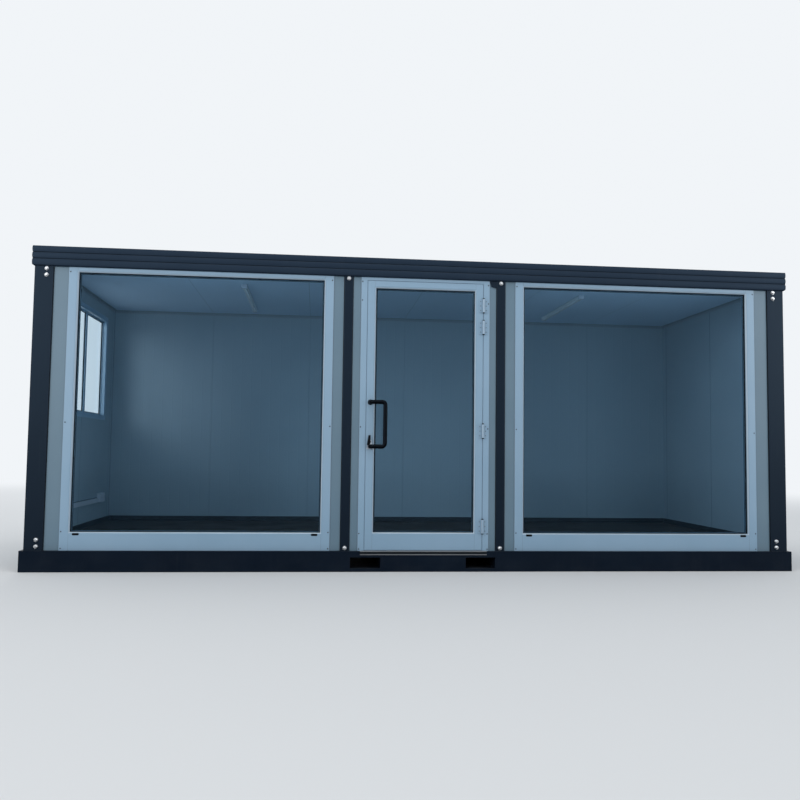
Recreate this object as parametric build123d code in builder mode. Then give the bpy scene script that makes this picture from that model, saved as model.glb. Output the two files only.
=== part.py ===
"""Portable site cabin with a glazed front, a hinged door and a ribbed eaves fascia.

Millimetres. Origin: middle of the base's underside. +X along the front, front faces -Y, +Z up.
Depths are counted from the posts' outer faces: positive is outwards, negative into the cabin.
"""
import math
import os

from build123d import *

os.makedirs("parts", exist_ok=True)

# Overall size
post_span_x = 6010.0
post_span_y = 2300.0
total_height = 2462.0
eaves_height = 116.0

# Base frame: folded channels, mitred at the corners
base_height = 157.0
base_overhang = 25.0
base_sheet = 4.0
base_flange = 120.0
joist_pitch = 750.0
joist_width = 60.0
joist_depth = 80.0
fork_spacing = 905.0
fork_width = 235.0
fork_height = 85.0
fork_bottom = 25.0
fork_wall = 4.0
floor_top = 200.0

# Posts
post_width = 138.0
post_sheet = 4.0
mid_post_width = 68.0
mid_post_wall = 3.0
mid_post_radius = 5.0
mid_post_x = 612.5

# Walls: sandwich panels set back behind the posts' faces
panel_recess = 12.0
panel_thickness = 60.0
panel_module = 1000.0
panel_gap = 0.3
tongue_length = 10.0
tongue_thickness = 20.0
panel_chamfer = 2.0

# Eaves fascia
fascia_overhang = 18.0
fascia_height = 146.0
fascia_ribs = 3
rib_bulge = 2.5
rib_groove_width = 7.0
rib_groove_depth = 2.0
fascia_sheet = 3.0
fascia_lip_drop = 8.0
fascia_top_flange = 75.0
roof_panel_thickness = 80.0
roof_rib_pitch = 250.0
roof_rib_height = 20.0
roof_rib_top = 40.0
roof_rib_foot = 80.0
roof_sheet_thickness = 2.0

# Glazed frames
frame_recess = 6.0
window_from_door_post = 84.5
window_from_corner = 252.0
window_stile = 73.0
window_bottom_rail = 138.0
bead_width = 14.0
bead_setback = 1.0
bead_slope_width = 8.0
bead_slope_depth = 10.0
glass_cover = 8.0
glass_edge_gap = 3.0
glass_thickness = 24.0
window_glass_depth = 28.0
drain_length = 48.0
drain_height = 12.0
drain_depth = 12.0
drain_from_corner = 45.0
drain_drop = 16.0

# Door set
door_centre_x = 3.5
door_set_width = 1032.0
door_jamb_face = 48.0
door_head_face = 60.0
door_stop = 15.0
door_gap = 5.0
leaf_thickness = 46.0
leaf_stile = 65.5
leaf_top_rail = 56.0
leaf_bottom_rail = 134.0
leaf_glass_depth = 22.0
threshold_sheet = 3.0
threshold_width = 996.0
threshold_drop = 28.0

# Door hinges, lift-off barrels on the front of leaf and jamb
hinge_from_foot = 184.0
hinge_middle_height = 1101.0
hinge_from_head = (350.0, 175.0)
hinge_length = 108.0
hinge_end_knuckle = 30.0
hinge_radius = 9.0
hinge_pin_radius = 5.0
hinge_pin_gap = 0.1
hinge_axial_gap = 0.5
hinge_axis_lift = 14.0
hinge_wing = 31.0
hinge_wing_sheet = 4.0
hinge_pin_tip = 3.0

# Door furniture
handle_radius = 16.5
handle_foot_from_edge = 31.0
handle_offset = 113.0
handle_stand_off = 75.0
handle_arm_rise = 45.0
handle_bottom = 968.0
handle_top = 1315.0
handle_bend = 26.0
handle_rose_radius = 21.5
handle_rose_sheet = 5.0
lock_plate_foot_width = 54.0
lock_plate_head_width = 24.0
lock_plate_drop = 22.0
lock_plate_rise = 50.0
lock_plate_sheet = 5.0
lock_plate_corner = 4.0
lock_bar_gap = 0.5
lock_barrel_rise = 36.0
lock_barrel_radius = 8.0
lock_barrel_length = 16.0
lock_lever_width = 7.0
lock_lever_length = 60.0
lock_lever_sheet = 6.0

# Two-light window in the left end wall
side_from_back = 330.0
side_width = 1250.0
side_head_drop = 124.0
side_height = 1018.0
side_frame_face = 45.0
side_mullion = 28.0
side_lip = 10.0
side_lip_depth = 4.0
side_glass_thickness = 14.0
side_glass_gap = 1.0
side_bead_depth = 9.0

# Inside
skirting_height = 48.0
skirting_thickness = 10.0
cornice_size = 25.0
cornice_sheet = 3.0
light_x = 1485.0
light_centre_y = 100.0
light_length = 1230.0
light_width = 46.0
light_tray = 12.0
light_lens_width = 30.0
light_lens_height = 22.0
trunking_bottom = 410.0
trunking_height = 40.0
trunking_depth = 22.0
trunking_end_y = 610.0
socket_width = 150.0
socket_height = 84.0
socket_depth = 38.0
gusset_clear = 3.0
gusset_height = 52.0
gusset_taper = 12.0
gusset_sheet = 8.0

# Worked out from the values above
half_x = post_span_x / 2
half_y = post_span_y / 2
wall_top = total_height - eaves_height
fascia_bottom = total_height - fascia_height
wall_back = panel_recess + panel_thickness
frame_depth = wall_back - frame_recess
inner_x = half_x - wall_back
inner_y = half_y - wall_back
panel_x = half_x - panel_recess
wall_height = wall_top - base_height
mid_wall_z = (base_height + wall_top) / 2
side_centre_z = wall_top - side_head_drop - side_height / 2
side_centre_y = inner_y - side_from_back - side_width / 2 + panel_thickness

up = Vector(0, 0, 1)
sides = {
    "front": (Vector(0, -1, 0), half_y, half_x),
    "back": (Vector(0, 1, 0), half_y, half_x),
    "left": (Vector(-1, 0, 0), half_x, half_y),
    "right": (Vector(1, 0, 0), half_x, half_y),
}


def face_plane(side, depth):
    """A plane seen from outside: x along the wall, y up, depth from the posts' faces."""
    outward, reach, half_run = sides[side]
    return Plane(origin=outward * (reach + depth), x_dir=up.cross(outward), z_dir=outward)


def run_plane(side):
    """The cross-section plane of one side: x outwards from the posts' faces, y up."""
    outward, reach, half_run = sides[side]
    return Plane(origin=outward * reach, x_dir=outward, z_dir=outward.cross(up))


def mitre_planes(side):
    """The two upright planes at 45 degrees that end a run at the posts' corners."""
    outward, reach, half_run = sides[side]
    along = outward.cross(up)
    return [
        Plane(origin=outward * reach + along * (half_run * end), z_dir=along * end - outward)
        for end in (1, -1)
    ]


# Base frame: four folded channels, the long two cut out for the fork tubes
for side, (outward, reach, half_run) in sides.items():
    with BuildPart() as base_rail:
        with BuildSketch(run_plane(side)):
            with BuildLine():
                Polyline(
                    (base_overhang, 0),
                    (base_overhang, base_height),
                    (base_overhang - base_flange, base_height),
                    (base_overhang - base_flange, base_height - base_sheet),
                    (base_overhang - base_sheet, base_height - base_sheet),
                    (base_overhang - base_sheet, base_sheet),
                    (base_overhang - base_flange, base_sheet),
                    (base_overhang - base_flange, 0),
                    close=True,
                )
            make_face()
        extrude(amount=half_run + 2 * base_flange, both=True)
        for mitre in mitre_planes(side):
            split(bisect_by=mitre, keep=Keep.BOTTOM)
        if side in ("front", "back"):
            with BuildSketch(face_plane(side, base_overhang)):
                with Locations((0, fork_bottom + fork_height / 2)):
                    with GridLocations(fork_spacing, 0, 2, 1):
                        Rectangle(fork_width, fork_height)
            extrude(amount=-base_sheet, mode=Mode.SUBTRACT)
    base_rail.part.label = f"base_{side}_rail"
    export_step(base_rail.part, f"parts/base_{side}_rail.step")

with BuildPart() as fork_tubes:
    with BuildSketch(face_plane("front", base_overhang - base_sheet)):
        with Locations((0, fork_bottom + fork_height / 2)):
            with GridLocations(fork_spacing, 0, 2, 1):
                Rectangle(fork_width + 2 * fork_wall, fork_height + 2 * fork_wall)
                Rectangle(fork_width, fork_height, mode=Mode.SUBTRACT)
    extrude(amount=-(post_span_y + 2 * (base_overhang - base_sheet)))
fork_tubes.part.label = "fork_tubes"
export_step(fork_tubes.part, "parts/fork_tubes.step")

# Joists end against the rails' webs and are notched under their top flanges
joist_count = 2 * math.floor((inner_x - joist_width) / joist_pitch) + 1
with BuildPart() as floor_joists:
    with BuildSketch(face_plane("front", base_overhang - base_sheet)):
        with Locations((0, base_height - joist_depth / 2)):
            with GridLocations(joist_pitch, 0, joist_count, 1):
                Rectangle(joist_width, joist_depth)
    extrude(amount=-(post_span_y + 2 * (base_overhang - base_sheet)))
    notch = base_flange - base_sheet
    for side in ("front", "back"):
        with BuildSketch(face_plane(side, base_overhang - base_sheet)):
            with Locations((0, base_height - base_sheet / 2)):
                Rectangle(post_span_x, base_sheet)
        extrude(amount=-notch, mode=Mode.SUBTRACT)
floor_joists.part.label = "floor_joists"
export_step(floor_joists.part, "parts/floor_joists.step")

with BuildPart() as floor_panel:
    with BuildSketch(Plane.XY.offset(base_height)):
        Rectangle(2 * inner_x, 2 * inner_y)
    extrude(amount=floor_top - base_height)
floor_panel.part.label = "floor_panel"
export_step(floor_panel.part, "parts/floor_panel.step")

# Corner posts: folded angles whose edges turn in to meet the panels
for name, turn_x, turn_y in (
    ("post_front_left", 1, 1),
    ("post_front_right", -1, 1),
    ("post_back_left", 1, -1),
    ("post_back_right", -1, -1),
):
    fold = (
        (0, 0),
        (post_width, 0),
        (post_width, panel_recess),
        (post_width - post_sheet, panel_recess),
        (post_width - post_sheet, post_sheet),
        (post_sheet, post_sheet),
        (post_sheet, post_width - post_sheet),
        (panel_recess, post_width - post_sheet),
        (panel_recess, post_width),
        (0, post_width),
    )
    with BuildPart() as corner_post:
        with BuildSketch(Plane.XY.offset(base_height)):
            with BuildLine():
                Polyline(
                    *[(turn_x * (a - half_x), turn_y * (b - half_y)) for a, b in fold],
                    close=True,
                )
            make_face()
        extrude(amount=wall_height)
    corner_post.part.label = name
    export_step(corner_post.part, f"parts/{name}.step")

# Posts beside the door: hollow sections as deep as the wall
for name, hand in (("post_door_left", -1), ("post_door_right", 1)):
    with BuildPart() as door_post:
        with BuildSketch(Plane.XY.offset(base_height)):
            with Locations((hand * mid_post_x, -half_y + wall_back / 2)):
                RectangleRounded(mid_post_width, wall_back, mid_post_radius)
                Rectangle(
                    mid_post_width - 2 * mid_post_wall,
                    wall_back - 2 * mid_post_wall,
                    mode=Mode.SUBTRACT,
                )
        extrude(amount=wall_height)
    door_post.part.label = name
    export_step(door_post.part, f"parts/{name}.step")

# Small gusset plate at the head of the right door post
mid_post_inner = mid_post_x - mid_post_width / 2
door_right = door_centre_x + door_set_width / 2
gusset_width = mid_post_inner - door_right - gusset_clear
with BuildPart() as post_gusset:
    with BuildSketch(face_plane("front", -panel_recess)):
        with BuildLine():
            Polyline(
                (mid_post_inner, fascia_bottom - fascia_lip_drop),
                (mid_post_inner - gusset_width, fascia_bottom - fascia_lip_drop),
                (mid_post_inner - gusset_width + gusset_taper, fascia_bottom - gusset_height),
                (mid_post_inner, fascia_bottom - gusset_height - gusset_taper),
                close=True,
            )
        make_face()
    extrude(amount=gusset_sheet)
post_gusset.part.label = "post_gusset"
export_step(post_gusset.part, "parts/post_gusset.step")

# Back wall: upright panels with tongue and groove joints
panel_count = math.ceil((inner_x * 2 - panel_module / 4) / panel_module)
back_joints = [panel_module * (k + 1) - inner_x for k in range(panel_count - 1)]
back_edges = [-panel_x, *back_joints, panel_x]


def tongued_panel(start, end, near, far, tongue, groove):
    """The outline of one panel seen from above, running along the first axis."""
    middle = (near + far) / 2
    half_tongue = tongue_thickness / 2
    half_groove = half_tongue + panel_gap
    outline = [(start + panel_chamfer, near), (end - panel_chamfer, near), (end, near + panel_chamfer)]
    if tongue:
        outline += [
            (end, middle - half_tongue),
            (end + tongue_length, middle - half_tongue),
            (end + tongue_length, middle + half_tongue),
            (end, middle + half_tongue),
        ]
    outline += [(end, far - panel_chamfer), (end - panel_chamfer, far), (start + panel_chamfer, far)]
    outline += [(start, far - panel_chamfer)]
    if groove:
        outline += [
            (start, middle + half_groove),
            (start + tongue_length + panel_gap, middle + half_groove),
            (start + tongue_length + panel_gap, middle - half_groove),
            (start, middle - half_groove),
        ]
    return outline + [(start, near + panel_chamfer)]


for k in range(panel_count):
    with BuildPart() as back_panel:
        with BuildSketch(Plane.XY.offset(base_height)):
            with BuildLine():
                Polyline(
                    *tongued_panel(
                        back_edges[k],
                        back_edges[k + 1],
                        inner_y,
                        inner_y + panel_thickness,
                        tongue=k < panel_count - 1,
                        groove=k > 0,
                    ),
                    close=True,
                )
            make_face()
        extrude(amount=wall_height)
    back_panel.part.label = f"back_panel_{k + 1}"
    export_step(back_panel.part, f"parts/back_panel_{k + 1}.step")

# End walls: two panels each between the front and back walls, the left ones cut for the window
for side, hand in (("left", -1), ("right", 1)):
    for end, start_y, end_y in (("front", -inner_y, 0), ("back", 0, inner_y)):
        with BuildPart() as end_panel:
            with BuildSketch(Plane.XY.offset(base_height)):
                with BuildLine():
                    Polyline(
                        *[
                            (hand * depth, run)
                            for run, depth in tongued_panel(
                                start_y,
                                end_y,
                                inner_x,
                                inner_x + panel_thickness,
                                tongue=end == "front",
                                groove=end == "back",
                            )
                        ],
                        close=True,
                    )
                make_face()
            extrude(amount=wall_height)
            if side == "left":
                with BuildSketch(face_plane(side, 0)):
                    with Locations((-side_centre_y, side_centre_z)):
                        Rectangle(side_width, side_height)
                extrude(amount=-2 * wall_back, mode=Mode.SUBTRACT)
        end_panel.part.label = f"{side}_end_panel_{end}"
        export_step(end_panel.part, f"parts/{side}_end_panel_{end}.step")

# Front wall: upright infill strips between posts, windows and door
mid_post_outer = mid_post_x + mid_post_width / 2
window_inner = mid_post_outer + window_from_door_post
window_outer = half_x - window_from_corner
window_width = window_outer - window_inner
window_centre_x = (window_outer + window_inner) / 2
door_left = door_centre_x - door_set_width / 2
infill_spans = (
    (-panel_x, -window_outer),
    (-window_inner, -mid_post_outer),
    (-mid_post_inner, door_left),
    (door_right, mid_post_inner),
    (mid_post_outer, window_inner),
    (window_outer, panel_x),
)
with BuildPart() as front_infill_strips:
    with BuildSketch(face_plane("front", -panel_recess)):
        for start, end in infill_spans:
            with Locations(((start + end) / 2, mid_wall_z)):
                Rectangle(end - start, wall_height)
    extrude(amount=-panel_thickness)
front_infill_strips.part.label = "front_infill_strips"
export_step(front_infill_strips.part, "parts/front_infill_strips.step")

# Roof: a thick panel on the walls, a trapezoidal sheet on it and the eaves fascia round it
with BuildPart() as roof_panel:
    with BuildSketch(Plane.XY.offset(wall_top)):
        Rectangle(2 * panel_x, post_span_y - 2 * panel_recess)
    extrude(amount=roof_panel_thickness)
roof_panel.part.label = "roof_panel"
export_step(roof_panel.part, "parts/roof_panel.step")

roof_seat = wall_top + roof_panel_thickness
rib_count = math.floor((2 * panel_x - roof_rib_foot) / roof_rib_pitch)
rib_profile = [(-panel_x, 0.0)]
for k in range(rib_count):
    middle = (k - (rib_count - 1) / 2) * roof_rib_pitch
    rib_profile += [
        (middle - roof_rib_foot / 2, 0.0),
        (middle - roof_rib_top / 2, roof_rib_height),
        (middle + roof_rib_top / 2, roof_rib_height),
        (middle + roof_rib_foot / 2, 0.0),
    ]
rib_profile += [(panel_x, 0.0)]
with BuildPart() as roof_sheet:
    with BuildSketch(face_plane("front", -panel_recess)):
        with BuildLine():
            Polyline(
                *[(x, roof_seat + z) for x, z in rib_profile],
                *[(x, roof_seat + z + roof_sheet_thickness) for x, z in reversed(rib_profile)],
                close=True,
            )
        make_face()
    extrude(amount=-(post_span_y - 2 * panel_recess))
roof_sheet.part.label = "roof_sheet"
export_step(roof_sheet.part, "parts/roof_sheet.step")

# Eaves fascia: a rolled profile with convex ribs, a seat flange on the posts and mitred corners
rib_foot = fascia_overhang - rib_bulge
rib_pitch = (total_height - fascia_bottom) / fascia_ribs
fascia_inside = rib_foot - fascia_sheet - 1
for side, (outward, reach, half_run) in sides.items():
    with BuildPart() as fascia:
        with BuildSketch(run_plane(side)):
            with BuildLine():
                for k in range(fascia_ribs):
                    rib_top = total_height - k * rib_pitch - (rib_groove_width / 2 if k else 0)
                    rib_end = total_height - (k + 1) * rib_pitch
                    if k < fascia_ribs - 1:
                        rib_end += rib_groove_width / 2
                    ThreePointArc(
                        (rib_foot, rib_top), (fascia_overhang, (rib_top + rib_end) / 2), (rib_foot, rib_end)
                    )
                    if k < fascia_ribs - 1:
                        Polyline(
                            (rib_foot, rib_end),
                            (rib_foot - rib_groove_depth, rib_end - rib_groove_width / 2),
                            (rib_foot, rib_end - rib_groove_width),
                        )
                Polyline(
                    (rib_foot, fascia_bottom),
                    (0, fascia_bottom - fascia_lip_drop),
                    (0, fascia_bottom - fascia_lip_drop + fascia_sheet),
                    (fascia_inside, fascia_bottom + fascia_sheet),
                    (fascia_inside, wall_top),
                    (-panel_recess, wall_top),
                    (-panel_recess, wall_top + fascia_sheet),
                    (fascia_inside, wall_top + fascia_sheet),
                    (fascia_inside, total_height - fascia_sheet),
                    (rib_foot - fascia_top_flange, total_height - fascia_sheet),
                    (rib_foot - fascia_top_flange, total_height),
                    (rib_foot, total_height),
                )
            make_face()
        extrude(amount=half_run + 2 * fascia_top_flange, both=True)
        for mitre in mitre_planes(side):
            split(bisect_by=mitre, keep=Keep.BOTTOM)
    fascia.part.label = f"fascia_{side}"
    export_step(fascia.part, f"parts/fascia_{side}.step")

# Windows: frames with an outer rebate, panes held by beads; slots drain the bottom rail
window_height = wall_top - base_height
window_glass_z = base_height + window_bottom_rail
window_glass_top = wall_top - window_stile
pane_rebate = bead_width - glass_edge_gap
bead_slope = math.degrees(math.atan(bead_slope_width / bead_slope_depth))
for name, hand in (("window_frame_left", -1), ("window_frame_right", 1)):
    daylight = window_width - 2 * window_stile
    daylight_height = window_glass_top - window_glass_z
    daylight_z = (window_glass_top + window_glass_z) / 2
    glass_back = window_glass_depth + glass_thickness
    with BuildPart() as window_frame:
        with BuildSketch(face_plane("front", -frame_recess)):
            with Locations((hand * window_centre_x, mid_wall_z)):
                Rectangle(window_width, window_height)
            with Locations((hand * window_centre_x, daylight_z)):
                Rectangle(
                    daylight + 2 * bead_width, daylight_height + 2 * bead_width, mode=Mode.SUBTRACT
                )
        extrude(amount=-(glass_back - frame_recess))
        with BuildSketch(face_plane("front", -glass_back)):
            with Locations((hand * window_centre_x, mid_wall_z)):
                Rectangle(window_width, window_height)
            with Locations((hand * window_centre_x, daylight_z)):
                Rectangle(
                    daylight - 2 * glass_cover, daylight_height - 2 * glass_cover, mode=Mode.SUBTRACT
                )
        extrude(amount=-(wall_back - glass_back))
        with BuildSketch(face_plane("front", -frame_recess)):
            with Locations((hand * window_centre_x, window_glass_z - drain_drop)):
                with GridLocations(daylight - 2 * drain_from_corner, 0, 2, 1):
                    SlotOverall(drain_length, drain_height)
        extrude(amount=-drain_depth, mode=Mode.SUBTRACT)
    window_frame.part.label = name
    export_step(window_frame.part, f"parts/{name}.step")

with BuildPart() as window_beads:
    with BuildSketch(face_plane("front", -frame_recess - bead_setback)):
        for hand in (-1, 1):
            with Locations((hand * window_centre_x, daylight_z)):
                Rectangle(daylight + 2 * bead_width, daylight_height + 2 * bead_width)
                Rectangle(daylight, daylight_height, mode=Mode.SUBTRACT)
    extrude(amount=-(window_glass_depth - frame_recess - bead_setback))
    with BuildSketch(face_plane("front", -frame_recess - bead_setback)):
        for hand in (-1, 1):
            with Locations((hand * window_centre_x, daylight_z)):
                Rectangle(daylight + 2 * bead_slope_width, daylight_height + 2 * bead_slope_width)
    extrude(amount=-bead_slope_depth, taper=bead_slope, mode=Mode.SUBTRACT)
window_beads.part.label = "window_beads"
export_step(window_beads.part, "parts/window_beads.step")

for name, hand in (("window_glass_left", -1), ("window_glass_right", 1)):
    with BuildPart() as window_glass:
        with BuildSketch(face_plane("front", -window_glass_depth)):
            with Locations((hand * window_centre_x, daylight_z)):
                Rectangle(daylight + 2 * pane_rebate, daylight_height + 2 * pane_rebate)
        extrude(amount=-glass_thickness)
    window_glass.part.label = name
    export_step(window_glass.part, f"parts/{name}.step")

# Window in the left end wall: a frame with one mullion, an outer lip, two panes and inner beads
side_clear_width = side_width - 2 * side_frame_face
side_clear_height = side_height - 2 * side_frame_face
side_light_width = (side_clear_width - side_mullion) / 2
side_light_shift = (side_clear_width - side_light_width) / 2
side_glass_front = panel_recess + side_lip_depth
side_glass_back = side_glass_front + side_glass_thickness
side_lights = [(-side_centre_y + hand * side_light_shift, side_centre_z) for hand in (-1, 1)]
with BuildPart() as side_window_frame:
    with BuildSketch(face_plane("left", -panel_recess)):
        with Locations((-side_centre_y, side_centre_z)):
            Rectangle(side_width, side_height)
        with Locations(*side_lights):
            Rectangle(
                side_light_width - 2 * side_lip, side_clear_height - 2 * side_lip, mode=Mode.SUBTRACT
            )
    extrude(amount=-side_lip_depth)
    with BuildSketch(face_plane("left", -side_glass_front)):
        with Locations((-side_centre_y, side_centre_z)):
            Rectangle(side_width, side_height)
        with Locations(*side_lights):
            Rectangle(side_light_width, side_clear_height, mode=Mode.SUBTRACT)
    extrude(amount=-(side_glass_thickness + side_bead_depth))
    with BuildSketch(face_plane("left", -side_glass_back - side_bead_depth)):
        with Locations((-side_centre_y, side_centre_z)):
            Rectangle(side_width, side_height)
            Rectangle(side_clear_width, side_clear_height, mode=Mode.SUBTRACT)
    extrude(amount=-(wall_back - side_glass_back - side_bead_depth))
side_window_frame.part.label = "side_window_frame"
export_step(side_window_frame.part, "parts/side_window_frame.step")

with BuildPart() as side_window_glass:
    with BuildSketch(face_plane("left", -side_glass_front)):
        with Locations(*side_lights):
            Rectangle(side_light_width - 2 * side_glass_gap, side_clear_height - 2 * side_glass_gap)
    extrude(amount=-side_glass_thickness)
side_window_glass.part.label = "side_window_glass"
export_step(side_window_glass.part, "parts/side_window_glass.step")

with BuildPart() as side_window_beads:
    with BuildSketch(face_plane("left", -side_glass_back)):
        with Locations(*side_lights):
            Rectangle(side_light_width, side_clear_height)
            Rectangle(
                side_light_width - 2 * side_lip, side_clear_height - 2 * side_lip, mode=Mode.SUBTRACT
            )
    extrude(amount=-side_bead_depth)
side_window_beads.part.label = "side_window_beads"
export_step(side_window_beads.part, "parts/side_window_beads.step")

# Door frame: jambs and head in front, and behind them a stop all round
opening_width = door_set_width - 2 * door_jamb_face
opening_top = wall_top - door_head_face
stop_depth = frame_recess + leaf_thickness + door_gap
with BuildPart() as door_frame:
    with BuildSketch(face_plane("front", -frame_recess)):
        with Locations((door_centre_x, mid_wall_z)):
            Rectangle(door_set_width, wall_height)
        with Locations((door_centre_x, (base_height + opening_top) / 2)):
            Rectangle(opening_width, opening_top - base_height, mode=Mode.SUBTRACT)
    extrude(amount=-(stop_depth - frame_recess))
    with BuildSketch(face_plane("front", -stop_depth)):
        with Locations((door_centre_x, mid_wall_z)):
            Rectangle(door_set_width, wall_height)
        with Locations((door_centre_x, (floor_top + opening_top - door_stop) / 2)):
            Rectangle(
                opening_width - 2 * door_stop,
                opening_top - door_stop - floor_top,
                mode=Mode.SUBTRACT,
            )
    extrude(amount=-(wall_back - stop_depth))
door_frame.part.label = "door_frame"
export_step(door_frame.part, "parts/door_frame.step")

threshold_top = base_height + threshold_sheet
with BuildPart() as door_threshold:
    with BuildSketch(Plane.XY.offset(base_height)):
        threshold_reach = base_overhang + threshold_sheet + frame_recess
        with Locations((door_centre_x, -half_y + frame_recess - threshold_reach / 2)):
            Rectangle(threshold_width, threshold_reach)
        with Locations((door_centre_x, -half_y + (frame_recess + stop_depth) / 2)):
            Rectangle(opening_width, stop_depth - frame_recess)
    extrude(amount=threshold_sheet)
    with BuildSketch(face_plane("front", base_overhang)):
        with Locations((door_centre_x, threshold_top - threshold_drop / 2 - threshold_sheet / 2)):
            Rectangle(threshold_width, threshold_drop + threshold_sheet)
    extrude(amount=threshold_sheet)
door_threshold.part.label = "door_threshold"
export_step(door_threshold.part, "parts/door_threshold.step")

# Door leaf: a rebated frame like the windows', with its pane and bead
leaf_width = opening_width - 2 * door_gap
leaf_bottom = threshold_top + door_gap
leaf_top = opening_top - door_gap
leaf_height = leaf_top - leaf_bottom
leaf_centre_z = (leaf_top + leaf_bottom) / 2
leaf_glass_back = leaf_glass_depth + glass_thickness
leaf_back = frame_recess + leaf_thickness
leaf_daylight = leaf_width - 2 * leaf_stile
leaf_daylight_height = leaf_height - leaf_top_rail - leaf_bottom_rail
leaf_daylight_z = (leaf_bottom + leaf_bottom_rail + leaf_top - leaf_top_rail) / 2
with BuildPart() as door_leaf:
    with BuildSketch(face_plane("front", -frame_recess)):
        with Locations((door_centre_x, leaf_centre_z)):
            Rectangle(leaf_width, leaf_height)
        with Locations((door_centre_x, leaf_daylight_z)):
            Rectangle(
                leaf_daylight + 2 * bead_width,
                leaf_daylight_height + 2 * bead_width,
                mode=Mode.SUBTRACT,
            )
    extrude(amount=-(leaf_glass_back - frame_recess))
    with BuildSketch(face_plane("front", -leaf_glass_back)):
        with Locations((door_centre_x, leaf_centre_z)):
            Rectangle(leaf_width, leaf_height)
        with Locations((door_centre_x, leaf_daylight_z)):
            Rectangle(
                leaf_daylight - 2 * glass_cover,
                leaf_daylight_height - 2 * glass_cover,
                mode=Mode.SUBTRACT,
            )
    extrude(amount=-(leaf_back - leaf_glass_back))
door_leaf.part.label = "door_leaf"
export_step(door_leaf.part, "parts/door_leaf.step")

with BuildPart() as door_bead:
    with BuildSketch(face_plane("front", -frame_recess - bead_setback)):
        with Locations((door_centre_x, leaf_daylight_z)):
            Rectangle(leaf_daylight + 2 * bead_width, leaf_daylight_height + 2 * bead_width)
            Rectangle(leaf_daylight, leaf_daylight_height, mode=Mode.SUBTRACT)
    extrude(amount=-(leaf_glass_depth - frame_recess - bead_setback))
    with BuildSketch(face_plane("front", -frame_recess - bead_setback)):
        with Locations((door_centre_x, leaf_daylight_z)):
            Rectangle(leaf_daylight + 2 * bead_slope_width, leaf_daylight_height + 2 * bead_slope_width)
    extrude(amount=-bead_slope_depth, taper=bead_slope, mode=Mode.SUBTRACT)
door_bead.part.label = "door_bead"
export_step(door_bead.part, "parts/door_bead.step")

with BuildPart() as door_glass:
    with BuildSketch(face_plane("front", -leaf_glass_depth)):
        with Locations((door_centre_x, leaf_daylight_z)):
            Rectangle(leaf_daylight + 2 * pane_rebate, leaf_daylight_height + 2 * pane_rebate)
    extrude(amount=-glass_thickness)
door_glass.part.label = "door_glass"
export_step(door_glass.part, "parts/door_glass.step")

# Hinges: end knuckles and pin on the jamb, middle knuckle on the leaf
leaf_right = door_centre_x + leaf_width / 2
leaf_left = door_centre_x - leaf_width / 2
hinge_x = leaf_right + door_gap / 2
face_y = -half_y + frame_recess
hinge_y = face_y - hinge_axis_lift
hinge_heights = [leaf_bottom + hinge_from_foot, hinge_middle_height]
hinge_heights += [leaf_top - drop for drop in hinge_from_head]
middle_knuckle = hinge_length - 2 * (hinge_end_knuckle + hinge_axial_gap)
wing_start = door_gap / 2 + 1.0

with BuildPart() as hinge_jamb_halves:
    for height in hinge_heights:
        for foot in (height - hinge_length / 2, height + hinge_length / 2 - hinge_end_knuckle):
            with BuildSketch(Plane.XY.offset(foot)):
                with Locations((hinge_x, hinge_y)):
                    Circle(hinge_radius)
                with Locations((hinge_x + (wing_start + hinge_radius) / 2, hinge_y + hinge_axis_lift / 2)):
                    Rectangle(hinge_radius - wing_start, hinge_axis_lift)
            extrude(amount=hinge_end_knuckle)
        with BuildSketch(Plane.XY.offset(height - hinge_length / 2)):
            with Locations((hinge_x + wing_start + hinge_wing / 2, face_y - hinge_wing_sheet / 2)):
                Rectangle(hinge_wing, hinge_wing_sheet)
        extrude(amount=hinge_length)
        with BuildSketch(Plane.XY.offset(height - hinge_length / 2 - hinge_pin_tip)):
            with Locations((hinge_x, hinge_y)):
                Circle(hinge_pin_radius)
        extrude(amount=hinge_length + 2 * hinge_pin_tip)
hinge_jamb_halves.part.label = "hinge_jamb_halves"
export_step(hinge_jamb_halves.part, "parts/hinge_jamb_halves.step")

with BuildPart() as hinge_leaf_halves:
    for height in hinge_heights:
        with BuildSketch(Plane.XY.offset(height - middle_knuckle / 2)):
            with Locations((hinge_x, hinge_y)):
                Circle(hinge_radius)
            with Locations((hinge_x - (wing_start + hinge_radius) / 2, hinge_y + hinge_axis_lift / 2)):
                Rectangle(hinge_radius - wing_start, hinge_axis_lift)
            with Locations((hinge_x, hinge_y)):
                Circle(hinge_pin_radius + hinge_pin_gap, mode=Mode.SUBTRACT)
        extrude(amount=middle_knuckle)
        with BuildSketch(Plane.XY.offset(height - hinge_length / 2)):
            with Locations((hinge_x - wing_start - hinge_wing / 2, face_y - hinge_wing_sheet / 2)):
                Rectangle(hinge_wing, hinge_wing_sheet)
        extrude(amount=hinge_length)
hinge_leaf_halves.part.label = "hinge_leaf_halves"
export_step(hinge_leaf_halves.part, "parts/hinge_leaf_halves.step")

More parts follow.
